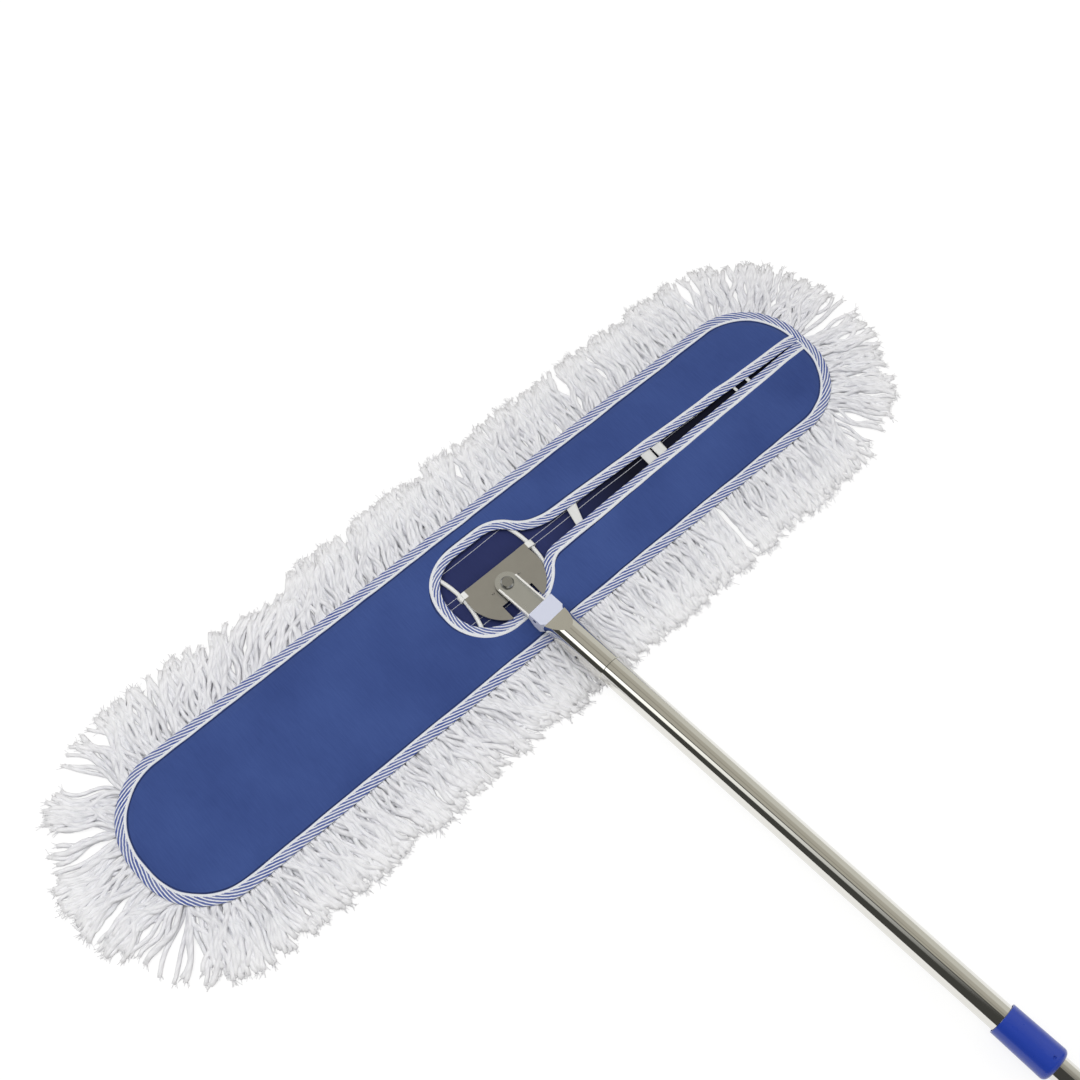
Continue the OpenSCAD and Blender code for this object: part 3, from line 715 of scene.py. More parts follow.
@dataclass
class HeadPlan:
    """Sizes of the canvas head, in metres, with its heights read from the frame."""

    corner_r: float = 78 * MM
    edge_tape_w: float = 11.5 * MM
    hem_inset: float = 1 * MM
    hem_rise: float = 7 * MM
    key_l: float = 112 * MM
    key_w: float = 92 * MM
    key_flat: float = 8 * MM
    key_y: float = 4 * MM
    far_share: float = 0.4
    near_share: float = 0.6
    flare_far_r: float = 60 * MM
    flare_near_r: float = 34 * MM
    slot_w: float = 23 * MM
    slot_tip_w: float = 2 * MM
    slot_run_out: float = 11 * MM
    key_tape_w: float = 10.5 * MM

    def __post_init__(self) -> None:
        """Reads the outline and the layers' heights from the frame."""
        low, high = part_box("edge_binding")
        self.half_l, self.half_w = high.x, high.y
        self.hem_z, self.edge_top = low.z, high.z
        self.cover_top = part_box("top_cover")[1].z
        self.key_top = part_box("keyhole_binding")[1].z
        self.base_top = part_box("base_cloth")[1].z
        self.tie_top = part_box("slot_ties")[1].z
        self.tip_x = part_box("keyhole_binding")[1].x
        self.hem_top = self.edge_top - (self.key_top - self.cover_top)
        self.rim_in = self.edge_tape_w + self.hem_inset + self.hem_rise

    def outline(self) -> Track:
        """The head's rounded rectangle, from the right end clockwise seen from above."""
        x, y, r = self.half_l - self.corner_r, self.half_w - self.corner_r, self.corner_r
        return (TrackMaker().to((self.half_l, 0.0), (1.0, 0.0)).arc((x, -y), r, 0, -90)
                .arc((-x, -y), r, -90, -180).mark().arc((-x, y), r, 180, 90).arc((x, y), r, 90, 0)
                .to((self.half_l, 0.0), (1.0, 0.0)).done())

    def flare(self, corner_r: float, flare_r: float) -> tuple[float, float, float]:
        """Middle of the flare beside the slot, and the angle in degrees to it from the corner's middle."""
        rise = self.slot_w / 2 + flare_r
        up = rise - self.key_w / 2 + corner_r
        out = math.sqrt((corner_r + flare_r) ** 2 - up ** 2)
        return self.key_l / 2 - corner_r + out, rise, math.degrees(math.atan2(up, out))

    def keyhole(self, run_out: float = 0.0) -> Track:
        """The keyhole's edge from the slot's tip along its near side, round and back along its far side.

        Args:
            run_out: How far the track goes on past the slot's tip.

        Returns:
            The open track, with joins at both flares, both corners before the straight runs and the
            left end.
        """
        y, half_l, half_w = self.key_y, self.key_l / 2, self.key_w / 2
        left_r = (self.key_w - self.key_flat) / 2
        far_r = self.far_share * (self.key_w - self.key_flat)
        near_r = self.near_share * (self.key_w - self.key_flat)
        far_x, far_y, far_turn = self.flare(far_r, self.flare_far_r)
        near_x, near_y, near_turn = self.flare(near_r, self.flare_near_r)
        tip = self.slot_tip_w / 2
        maker = TrackMaker()
        if run_out:
            maker.to((self.tip_x + run_out, -tip / 2), (0.0, -1.0))
        maker.to((self.tip_x, -tip), (0.0, -1.0))
        maker.arc((near_x, y - near_y), self.flare_near_r, 90, 180 - near_turn, hollow=True).mark()
        maker.arc((half_l - near_r, y + near_r - half_w), near_r, -near_turn, -90).mark()
        maker.arc((left_r - half_l, y + left_r - half_w), left_r, -90, -180).mark()
        maker.arc((left_r - half_l, y + half_w - left_r), left_r, 180, 90).mark()
        maker.arc((half_l - far_r, y + half_w - far_r), far_r, 90, far_turn)
        maker.arc((far_x, y + far_y), self.flare_far_r, 180 + far_turn, 270, hollow=True).mark()
        maker.to((self.tip_x, tip), (0.0, 1.0))
        if run_out:
            maker.to((self.tip_x + run_out, tip / 2), (0.0, 1.0))
        return maker.done()

    def cover_height(self, inset: np.ndarray) -> np.ndarray:
        """Height of the cover's face by distance from the outline: flat hem, smooth rise, flat top."""
        share = np.clip((inset - self.edge_tape_w - self.hem_inset) / self.hem_rise, 0, 1)
        return self.hem_top + eased(share) * (self.cover_top - self.hem_top)

    def round_half_width(self, x: np.ndarray, inset: float) -> np.ndarray:
        """Half the head's width at places along it, for the outline moved in by an inset."""
        r = self.corner_r - inset
        over = np.clip(np.abs(x) - (self.half_l - self.corner_r), 0, r)
        return self.half_w - self.corner_r + np.sqrt(np.maximum(r * r - over * over, 0))


@dataclass
class CanvasHead:
    """The canvas cover, the base cloth, their tapes, ties and sewn threads."""

    plan: HeadPlan
    cloth_t: float = 0.6 * MM
    samples: int = 560
    hem_rows: tuple[float, ...] = (1.3 * MM, 6 * MM)
    rise_rows: int = 7
    columns: int = 33
    key_lap: float = 0.6 * MM
    swell: float = 0.9 * MM
    swell_fade: float = 25 * MM
    swell_l: float = 160 * MM
    swell_w: float = 90 * MM
    key_clear_share: float = 1.3
    fan_turn: float = 0.5
    fan_r: float = 85 * MM
    fan_w: float = 40 * MM
    tape_t: float = 0.5 * MM
    tape_step: float = 2.5 * MM
    tape_lift: float = 0.12 * MM
    stray_l: float = 70 * MM
    drift_l: float = 40 * MM
    lift_l: float = 30 * MM
    edge_wander: float = 0.25 * MM
    key_wander: float = 0.28 * MM
    seam_out: tuple[float, float] = (0.9 * MM, 0.4 * MM)
    tie_grid: tuple[int, int] = (9, 7)
    tie_dip: float = 0.5 * MM
    tie_crown: float = 0.15 * MM
    tie_under: float = 0.05 * MM
    tie_shift: float = 2 * MM
    base_inset: float = 2 * MM
    base_grid: tuple[int, int] = (361, 61)
    base_ripple: float = 0.12 * MM
    base_swell_l: tuple[float, float] = (50 * MM, 35 * MM)
    stitch_rows: tuple[float, ...] = (-58.5 * MM, -25.5 * MM, -18 * MM, 8 * MM, 15 * MM, 45 * MM)
    stitch_l: float = 4.2 * MM
    stitch_rings: int = 900
    thread_r: float = 0.3 * MM
    thread_rise: float = 0.15 * MM
    thread_dip: float = 0.22 * MM
    thread_sway: float = 0.35 * MM
    thread_sway_l: float = 120 * MM

    def build(self) -> None:
        """Builds and dresses all the sewn pieces of the head."""
        cover = self.cover()
        trims = [self.edge_tape(), self.keyhole_tape(), self.ties()]
        base = self.base()
        thread = self.threads()
        outline_area = self.polygon_area(self.plan.outline().points)
        hole_area = self.polygon_area(self.plan.keyhole().points)

    @staticmethod
    def polygon_area(points: np.ndarray) -> float:
        """Area inside a closed outline, by the sum of cross products of its corners."""
        ahead = np.roll(points, -1, axis=0)
        return float(abs(np.sum(points[:, 0] * ahead[:, 1] - ahead[:, 0] * points[:, 1])) / 2)

    def cover(self) -> bpy.types.Object:
        """The canvas top.

        Rows follow the outline. Columns step in over the hem and the rise, then go straight to the
        matching point of the keyhole's edge. The height follows the hem's profile, plus slow swells and
        faint creases that fan out from the keyhole, both fading out at the rim and at the keyhole.

        Returns:
            The cover.
        """
        plan = self.plan
        outer, inner = plan.outline(), plan.keyhole()
        place = np.linspace(0, outer.length, self.samples, endpoint=False)
        left = outer.joins[0] + (plan.half_w - plan.corner_r)
        quarter = plan.half_w - plan.corner_r + math.pi / 2 * plan.corner_r + plan.half_l - plan.corner_r
        joint_x = inner.at(np.array(inner.joins))[0][:, 0]
        far = outer.length - quarter
        anchors_out = [0.0, quarter - joint_x[0], quarter - joint_x[1], left,
                       far + joint_x[3], far + joint_x[4], outer.length]
        anchors_in = [0.0, *inner.joins, inner.length]
        rim, normal = outer.at(place)
        edge, edge_normal = inner.at(np.interp(place, anchors_out, anchors_in))
        edge = edge + edge_normal * self.key_lap
        rise = plan.edge_tape_w + plan.hem_inset + plan.hem_rise * np.linspace(0, 1, self.rise_rows)
        insets = np.concatenate([self.hem_rows, rise])
        hem = rim[:, None] - normal[:, None] * insets[None, :, None]
        share = np.linspace(0, 1, self.columns + 1)[1:]
        field_points = hem[:, -1:] + share[None, :, None] * (edge[:, None] - hem[:, -1:])
        flat = np.concatenate([hem, field_points], axis=1)
        inset = np.concatenate([insets, np.full(len(share), plan.rim_in)])
        span = np.linalg.norm(edge - hem[:, -1], axis=1)[:, None]
        room = merged(share * span, (1 - share) * span - plan.key_tape_w * self.key_clear_share)
        room = eased(np.clip(room / self.swell_fade, 0, 1)).prod(axis=-1)
        belly = np.concatenate([np.zeros((len(rim), len(insets))), room], axis=1)
        x, y = flat[..., 0], flat[..., 1]
        slow = ripple(x + 0.4 * y, self.swell_l, 3) * ripple(y - 0.3 * x, self.swell_w, 4)
        fan = ripple(np.arctan2(y - plan.key_y, x), self.fan_turn, 9)
        fan = fan * np.exp(-((np.hypot(x, y) - self.fan_r) / self.fan_w) ** 2)
        height = plan.cover_height(inset)[None, :]
        height = height + belly * self.swell * np.maximum(0.6 + 0.5 * slow + 0.5 * fan, 0)
        points = np.concatenate([flat, height[..., None]], axis=-1)
        inner_rim = plan.rim_in + share * span
        from_rim = np.concatenate([np.broadcast_to(insets, hem.shape[:2]), inner_rim], axis=1)
        from_key = np.concatenate([span + plan.rim_in - insets, (1 - share) * span], axis=1)
        from_rim, from_key = (np.concatenate([part, part[:1]]) for part in (from_rim, from_key))
        surface = Surface.lattice(points, from_rim, from_key, wrapped=True).flipped()
        # The cover's canvas, with a painted shade line beside both tapes.
        canvas = CanvasFinish("cover_canvas", light=(0.056, 0.099, 0.300), dark=(0.031, 0.058, 0.205),
                              seams=(plan.edge_tape_w + self.seam_out[0], plan.key_tape_w + self.seam_out[1]))
        return thicken(surface.piece("canvas_cover", canvas.make(), Slot.COVER, "top_cover"), self.cloth_t)

    def tape(self, track: Track, profile: np.ndarray, closed: bool, side: float, wander: float,
             seed: int) -> Surface:
        """Carries a tape's cross-section along a track.

        Each profile row gives the distance out from the track, the height and the distance across the
        tape. The tape wanders a little sideways, more towards its free edge.

        Args:
            track: The path.
            profile: Cross-section rows, from the side that faces the track's inside.
            closed: Whether the track is a loop.
            side: 1 where the tape lies outside the track, -1 where it lies inside.
            wander: How far the free edge strays.
            seed: Seed of the wander.

        Returns:
            The tape's surface.
        """
        count = int(track.length / self.tape_step)
        place = np.linspace(0, track.length, count, endpoint=not closed)
        point, normal = track.at(place)
        out, height, across = profile.T
        share = (across / across[-1])[None, :]
        stray = wander * ripple(place, self.stray_l, seed)[:, None] * np.abs(share)
        stray = stray - 0.5 * wander * (1 + ripple(place, self.drift_l, seed + 2))[:, None]
        plan = point[:, None] + normal[:, None] * (side * (out[None, :] + stray))[..., None]
        lift = self.tape_lift * ripple(place, self.lift_l, seed + 1)[:, None] * np.sin(np.pi * share)
        points = np.concatenate([plan, (height[None, :] + lift)[..., None]], axis=-1)
        along = np.append(place, track.length) if closed else place
        return Surface.lattice(points, along[:, None], across[None, :], wrapped=closed)

    def edge_tape(self) -> bpy.types.Object:
        """The tape folded over the head's hem, with its selvedge towards the cover."""
        plan = self.plan
        top, width = plan.edge_top, plan.edge_tape_w
        rows = np.array([
            [1.6, plan.hem_z / MM + 0.05], [0.3, plan.hem_z / MM + 0.05], [0.0, top / MM - 0.7],
            [0.3, top / MM - 0.2], [1.2, top / MM], [4, top / MM + 0.05], [8, top / MM],
            [width / MM - 0.7, top / MM - 0.05], [width / MM, top / MM - 0.35],
            [width / MM, top / MM - 0.75],
        ]) * MM
        surface = self.tape(plan.outline(), self.with_width(rows), True, -1, self.edge_wander, 21).flipped()
        twill = TwillFinish("edge_twill", width + 0.2 * MM, width + 4 * MM, width - 0.2 * MM)
        return surface.piece("edge_tape", twill.make(), Slot.BINDING, "edge_binding")

    @staticmethod
    def with_width(rows: np.ndarray) -> np.ndarray:
        """Adds the distance across the tape to rows of offset and height."""
        steps = np.linalg.norm(np.diff(rows, axis=0), axis=1)
        return np.column_stack([rows, np.concatenate([[0.0], np.cumsum(steps)])])

    def keyhole_tape(self) -> bpy.types.Object:
        """The tape folded over the keyhole's edge, whose two ends run down the rim to the edge tape."""
        plan = self.plan
        top, width = plan.key_top, plan.key_tape_w
        rows = np.array([
            [1.5, -1.45], [-0.25, -1.4], [-0.45, -0.7], [-0.2, -0.15], [0.6, 0.0], [3, 0.08], [7, 0.05],
            [width / MM - 0.6, -0.02], [width / MM, -0.3], [width / MM + 0.1, -0.68],
        ]) * MM
        rows[:, 1] += top
        track = plan.keyhole(plan.slot_run_out)
        surface = self.tape(track, self.with_width(rows), False, 1, self.key_wander, 31)
        surface.uv[..., 1] *= -1
        inset = np.minimum(plan.half_l - surface.points[:, 0], plan.rim_in)
        surface.points[:, 2] += plan.cover_height(inset) - plan.cover_top
        twill = TwillFinish("key_twill", -width - 4 * MM, -width - 0.6 * MM, -width - 0.2 * MM)
        return surface.piece("keyhole_tape", twill.make(), Slot.BINDING, "keyhole_binding")

    def ties(self) -> bpy.types.Object:
        """White ties across the slot: thin strips, narrower at the near end, that dip in the middle."""
        middles = np.array([112.0, 217.5, 232.5, 345.5, 364.0]) * MM
        far_w = np.array([13.0, 13.0, 13.0, 3.6, 4.6]) * MM
        near_w = np.array([8.0, 12.0, 12.0, 3.0, 4.0]) * MM
        lean = np.array([5.0, 0.5, 0.5, 0.0, 0.0]) * MM
        half = self.plan.slot_w / 2 * np.array([1.35, 1.0, 0.95, 0.6, 0.55])
        v = np.linspace(-1, 1, self.tie_grid[0])[None, :, None]
        u = np.linspace(-1, 1, self.tie_grid[1])[None, None, :]
        share = (v + 1) / 2
        wide = (near_w[:, None, None] + (far_w - near_w)[:, None, None] * share) / 2
        x = middles[:, None, None] + u * wide + v * lean[:, None, None]
        y = v * half[:, None, None] + self.tie_shift * (1 - middles[:, None, None] / self.plan.tip_x)
        top = self.plan.tie_top - self.tie_under
        points = merged(x, y, top - self.tie_dip * (1 - v ** 2) - self.tie_crown * u ** 2)
        strips = [Surface.lattice(strip, strip[..., 1], strip[..., 0]) for strip in points]
        surface = strips[0].joined(*strips[1:]).flipped()
        finish = CanvasFinish("tie_tape", light=(0.80, 0.81, 0.80), dark=(0.62, 0.63, 0.63), lint_share=2.0)
        return thicken(surface.piece("slot_ties_woven", finish.make(), Slot.TIE, "slot_ties"), self.tape_t)

    def base(self) -> bpy.types.Object:
        """The navy base cloth: a lattice that is squeezed to the head's outline, with slow ripples."""
        plan = self.plan
        u, v = (np.linspace(-1, 1, count) for count in self.base_grid)
        u, v = u[:, None], v[None, :]
        x = u * (plan.half_l - self.base_inset)
        y = v * plan.round_half_width(x, self.base_inset)
        swell = ripple(x + y, self.base_swell_l[0], 41) * ripple(y - x, self.base_swell_l[1], 42)
        swell = swell * (1 - v ** 4)
        points = merged(x, y, plan.base_top + self.base_ripple * swell)
        surface = Surface.lattice(points, points[..., 0], points[..., 1])
        # The base cloth gets painted shade towards the slot's tip.
        canvas = CanvasFinish("base_canvas", light=(0.030, 0.040, 0.138), dark=(0.020, 0.027, 0.095),
                              lint_share=0.9, end_shade_from=70 * MM)
        return thicken(surface.piece("base_sheet", canvas.make(), Slot.BASE, "base_cloth"), self.cloth_t)

    def threads(self) -> bpy.types.Object:
        """Sewing threads along the base cloth: thin tubes that rise and dip once per stitch."""
        plan = self.plan
        rows = np.array(self.stitch_rows)
        reach = plan.half_l - plan.corner_r
        x = np.linspace(-reach, reach, self.stitch_rings)
        height = plan.base_top + self.thread_rise + self.thread_dip * np.sin(math.tau * x / self.stitch_l)
        sway = self.thread_sway * ripple(x, self.thread_sway_l, 51)
        y = rows[:, None, None] + sway[None, :, None] + self.thread_r * np.cos(RING)
        rings = merged(x[None, :, None], y, height[None, :, None] + self.thread_r * np.sin(RING))
        along = np.broadcast_to(x, (len(rows), len(x)))
        finish = CanvasFinish("sewing_thread", light=(0.74, 0.75, 0.80), dark=(0.5, 0.52, 0.6),
                              lint_share=2.0)
        return Surface.strands(rings, along).piece("sewing_threads", finish.make(), Slot.TIE)


@dataclass
class Lean:
    """How far the fringe leans towards +X along one long side, in degrees."""

    middle: float
    slope: float
    swirls: tuple[tuple[float, float, float], ...]
    slope_over: float = 350 * MM

    def __call__(self, x: np.ndarray) -> np.ndarray:
        """A straight change along the head plus bell-shaped swirls of place, width and angle."""
        total = self.middle + self.slope * x / self.slope_over
        for place, width, angle in self.swirls:
            total = total + angle * np.exp(-((x - place) / width) ** 2)
        return np.radians(total)


@dataclass
class YarnFringe:
    """Loose yarn all round the head and the sewn rows under it."""

    plan: HeadPlan
    reach: float = 70 * MM
    rings: int = 12
    root_in: float = 5 * MM
    root_z: float = 6.8 * MM
    low_z: float = 2.6 * MM
    crown: float = 7.6 * MM
    end_crown: float = 6.0 * MM
    climb_from: float = -3 * MM
    climb_over: float = 15 * MM
    bob: float = 0.5 * MM
    side_past: float = 20 * MM
    side_fade: float = 60 * MM
    clump_w: float = 21 * MM
    clump_l: float = 80 * MM
    drift_l: float = 60 * MM
    stray_l: float = 30 * MM
    phase_l: float = 50 * MM
    trim_l: float = 90 * MM
    layers: tuple[tuple[float, float, float], ...] = (
        (1.0, 6.4 * MM, 2.65 * MM), (0.66, 5.6 * MM, 2.55 * MM),
        (0.33, 4.4 * MM, 2.4 * MM), (0.0, 3.6 * MM, 2.3 * MM),
    )
    fibres: int = 4
    fibre_l: float = 10 * MM
    fibre_r: float = 0.5 * MM
    fibre_rings: int = 4
    fibre_rise: tuple[float, float] = (-2.5 * MM, 1.0 * MM)
    partings: tuple[tuple[float, float, float], ...] = (
        (-0.441, 0.121, 0.75), (-0.475, 0.066, 0.75), (-0.486, -0.092, 0.85),
        (0.492, 0.002, 0.65), (0.425, -0.130, 0.70),
    )
    parting_core: float = 4 * MM
    parting_w: float = 24 * MM
    row_w: float = 33 * MM
    row_numbers: tuple[int, ...] = (-2, -1, 0, 1, 2)
    row_pitch: float = 4.6 * MM
    row_end: float = 6 * MM
    row_edge: float = 3 * MM
    row_least: float = 8 * MM
    row_rings: int = 7
    row_z: float = 4.2 * MM
    row_dip: float = 1.9 * MM
    row_r: float = 2.25 * MM
    row_pinch: float = 0.4 * MM
    row_bend: float = 3 * MM
    row_shift: float = 0.6 * MM
    far_lean: Lean = field(default_factory=lambda: Lean(14, -9, ((-0.225, 0.05, 33), (-0.10, 0.04, 8))))
    near_lean: Lean = field(default_factory=lambda: Lean(5, -13, ((-0.10, 0.05, 24), (0.05, 0.03, 14))))

    def build(self) -> None:
        """Builds and dresses the fringe, in four stretches, and the rows underneath."""
        yarn = YarnFinish().make()
        track = self.plan.outline()
        layers = [self.layer(track, *layer, seed) for seed, layer in enumerate(self.layers)]
        roots, centre, radius, along = (np.concatenate(parts) for parts in zip(*layers))
        end = self.plan.half_l - self.plan.corner_r
        x, y = roots.T
        long_side = np.abs(x) <= end
        stretches = {"fringe_far": long_side & (y > 0), "fringe_near": long_side & (y <= 0),
                     "fringe_left": x < -end, "fringe_right": x > end}
        replaced = ["yarn_fringe"]
        for seed, (name, chosen) in enumerate(stretches.items()):
            surface = Surface.strands(self.tubes(centre[chosen], radius[chosen]), along[chosen])
            surface = surface.joined(self.frays(centre[chosen], along[chosen], seed))
            surface.piece(name, yarn, Slot.YARN, *replaced)
            replaced = []
        self.rows().piece("sole_rows", yarn, Slot.YARN, "sole_yarn")

    def parted(self, track: Track, place: np.ndarray) -> np.ndarray:
        """Angle by which strands turn away from the open gaps at the head's ends."""
        total = np.zeros(len(place))
        for x, y, turn in self.partings:
            gap = track.along[np.argmin(np.hypot(track.points[:, 0] - x, track.points[:, 1] - y))]
            away = np.mod(place - gap + track.length / 2, track.length) - track.length / 2
            total += turn * np.tanh(away / self.parting_core) * np.exp(-(away / self.parting_w) ** 2)
        return total

    def layer(self, track: Track, level: float, pitch: float, thick: float,
              seed: int) -> tuple[np.ndarray, ...]:
        """Works out one layer of strands.

        Each strand starts under the binding and runs out along the outline's normal, turned by the lean
        of its stretch, by gaps and clumps beside it and by waves of its own. Its plan is the running sum
        of steps at that angle. Its height swells just past the binding and falls towards the tip.

        Args:
            track: The head's outline.
            level: Height of the layer, from 0 at the floor to 1 on top.
            pitch: Distance between strands.
            thick: Usual radius of a strand.
            seed: Seed of the layer's random draws.

        Returns:
            Roots, centre lines, radii and the distance along each strand.
        """
        rng = np.random.default_rng(70 + seed)
        count = int(track.length / pitch)
        place = (np.arange(count) + rng.uniform(-0.32, 0.32, count)) * track.length / count
        place = np.mod(place, track.length)
        root, normal = track.at(place)
        right = merged(normal[:, 1], -normal[:, 0])
        x, y = root.T
        end = self.plan.half_l - self.plan.corner_r
        side = np.clip((end + self.side_past - np.abs(x)) / self.side_fade, 0, 1)
        lean = np.where(y > 0, self.far_lean(x), -self.near_lean(x)) * side
        t = np.linspace(0, 1, self.rings)[None, :]
        clump = place / self.clump_w + 0.7 * ripple(place, self.clump_l, 61)
        pull = (0.5 - np.mod(clump, 1.0)) * np.where(side > 0.5, 0.18, 0.45) + self.parted(track, place)
        drift = (0.14 - 0.11 * side) * ripple(place, self.drift_l, 62)
        drift = drift + 0.15 * ripple(place, self.stray_l, 80 + seed)
        turned = lean + drift + rng.normal(0, 0.05, count)
        wave = rng.uniform(0.15, 0.48, count)
        turns = rng.uniform(0.9, 1.6, count)
        phase = rng.normal(0, 0.55, count) + 2.4 * ripple(place, self.phase_l, 64 + seed)
        angle = turned[:, None] * (0.5 + 0.65 * t) + pull[:, None] * np.sin(np.pi * np.minimum(t * 1.25, 1))
        angle = angle + wave[:, None] * np.sin(math.tau * turns[:, None] * t + phase[:, None])
        longest = self.reach + self.root_in
        length = longest * rng.uniform(0.86, 1.08, count) * (1 + 0.05 * ripple(place, self.trim_l, 65))
        step = (length / (self.rings - 1))[:, None]
        foot = np.zeros((count, 1))
        out, sway = (np.concatenate([foot, np.cumsum(part(angle[:, 1:]) * step, axis=1)], axis=1)
                     for part in (np.cos, np.sin))
        out = np.minimum(out, longest) - self.root_in
        plan = root[:, None] + out[..., None] * normal[:, None] + sway[..., None] * right[:, None]
        level = np.clip(level + rng.uniform(-0.13, 0.13, count), 0, 1)[:, None]
        climb = np.clip((out - self.climb_from) / self.climb_over, 0, 1)
        fall = np.clip(1.12 - out / self.reach, 0.12, 1)
        crown = np.where(side > 0.5, self.crown, self.end_crown)[:, None]
        bob = self.bob * np.sin(math.tau * 1.3 * t + phase[:, None] * 1.7) * t
        start = np.minimum(self.low_z + crown * level, self.root_z)
        height = start + (self.low_z + crown * level * fall - start) * eased(climb) + bob
        centre = np.concatenate([plan, np.maximum(height, self.low_z)[..., None]], axis=-1)
        taper = 0.72 + 0.40 * t ** 0.5 - 0.18 * t ** 6
        return root, centre, thick * rng.uniform(0.82, 1.12, count)[:, None] * taper, t * length[:, None]

    def frays(self, centre: np.ndarray, along: np.ndarray, seed: int) -> Surface:
        """Loose fibres at the strands' tips.

        Each leaves its strand a ring before the tip and goes on in the strand's direction, with a bend to
        one side that grows with a power of the share along the fibre, while it mostly sinks and thins out.

        Args:
            centre: Centre lines, strands by rings by 3.
            along: Distance along each strand, strands by rings.
            seed: Seed of the random draws.

        Returns:
            All the fibres as one surface.
        """
        rng = np.random.default_rng(110 + seed)
        start, ahead, tip = (np.repeat(part, self.fibres, axis=0)
                             for part in (centre[:, -2], centre[:, -1] - centre[:, -2], along[:, -2]))
        ahead = ahead / np.linalg.norm(ahead, axis=-1, keepdims=True)
        aside = merged(ahead[:, 1], -ahead[:, 0], 0 * ahead[:, 0])
        s = np.linspace(0, 1, self.fibre_rings)[None, :, None]
        length = self.fibre_l * rng.uniform(0.75, 1.15, (len(start), 1, 1))
        bend = rng.normal(0, 0.28, (len(start), 1, 1))
        path = start[:, None] + length * (s * ahead[:, None] + bend * s ** 1.6 * aside[:, None])
        rise = rng.uniform(*self.fibre_rise, (len(start), 1)) * s[..., 0]
        path[..., 2] = np.maximum(path[..., 2] + rise, self.fibre_r)
        radius = np.broadcast_to(self.fibre_r * (1.25 - 0.8 * s[..., 0]), path.shape[:2])
        return Surface.strands(self.tubes(path, radius), tip[:, None] + (length * s)[..., 0])

    @staticmethod
    def tubes(centre: np.ndarray, radius: np.ndarray) -> np.ndarray:
        """Rings of six points round centre lines, square to the line and level with the floor.

        Args:
            centre: Strands by rings by 3.
            radius: Strands by rings.

        Returns:
            Strands by rings by 6 by 3.
        """
        ahead = np.gradient(centre, axis=1)
        ahead /= np.linalg.norm(ahead, axis=-1, keepdims=True)
        aside = np.cross(ahead, np.array([0.0, 0.0, 1.0]))
        aside /= np.linalg.norm(aside, axis=-1, keepdims=True)
        above = np.cross(aside, ahead)
        ring = np.cos(RING)[:, None] * aside[..., None, :] + np.sin(RING)[:, None] * above[..., None, :]
        return centre[..., None, :] + radius[..., None, None] * ring

    def rows(self) -> Surface:
        """Sewn rows under the head: short strands across each row, low midway and tucked up at seams."""
        rng = np.random.default_rng(90)
        reach = self.plan.half_l - self.row_end
        places = np.arange(-reach, reach, self.row_pitch)
        x, row = (part.ravel() for part in np.meshgrid(places, self.row_numbers, indexing="ij"))
        half = self.plan.round_half_width(x, 0.0) - self.row_edge
        low = np.maximum((row - 0.5) * self.row_w, -half)
        high = np.minimum((row + 0.5) * self.row_w, half)
        kept = high - low > self.row_least
        x, low, wide = x[kept], low[kept], (high - low)[kept, None]
        t = np.linspace(0, 1, self.row_rings)[None, :]
        bend = rng.uniform(-1, 1, len(x))[:, None] * self.row_bend * np.sin(np.pi * t)
        shift = rng.normal(0, 1, len(x))[:, None] * self.row_shift
        height = self.row_z - self.row_dip * np.sin(np.pi * t) ** 0.6
        centre = merged(x[:, None] + shift + bend, low[:, None] + t * wide, height)
        radius = np.broadcast_to(self.row_r - self.row_pinch * np.cos(math.tau * t), centre.shape[:2])
        return Surface.strands(self.tubes(centre, radius), t * wide)


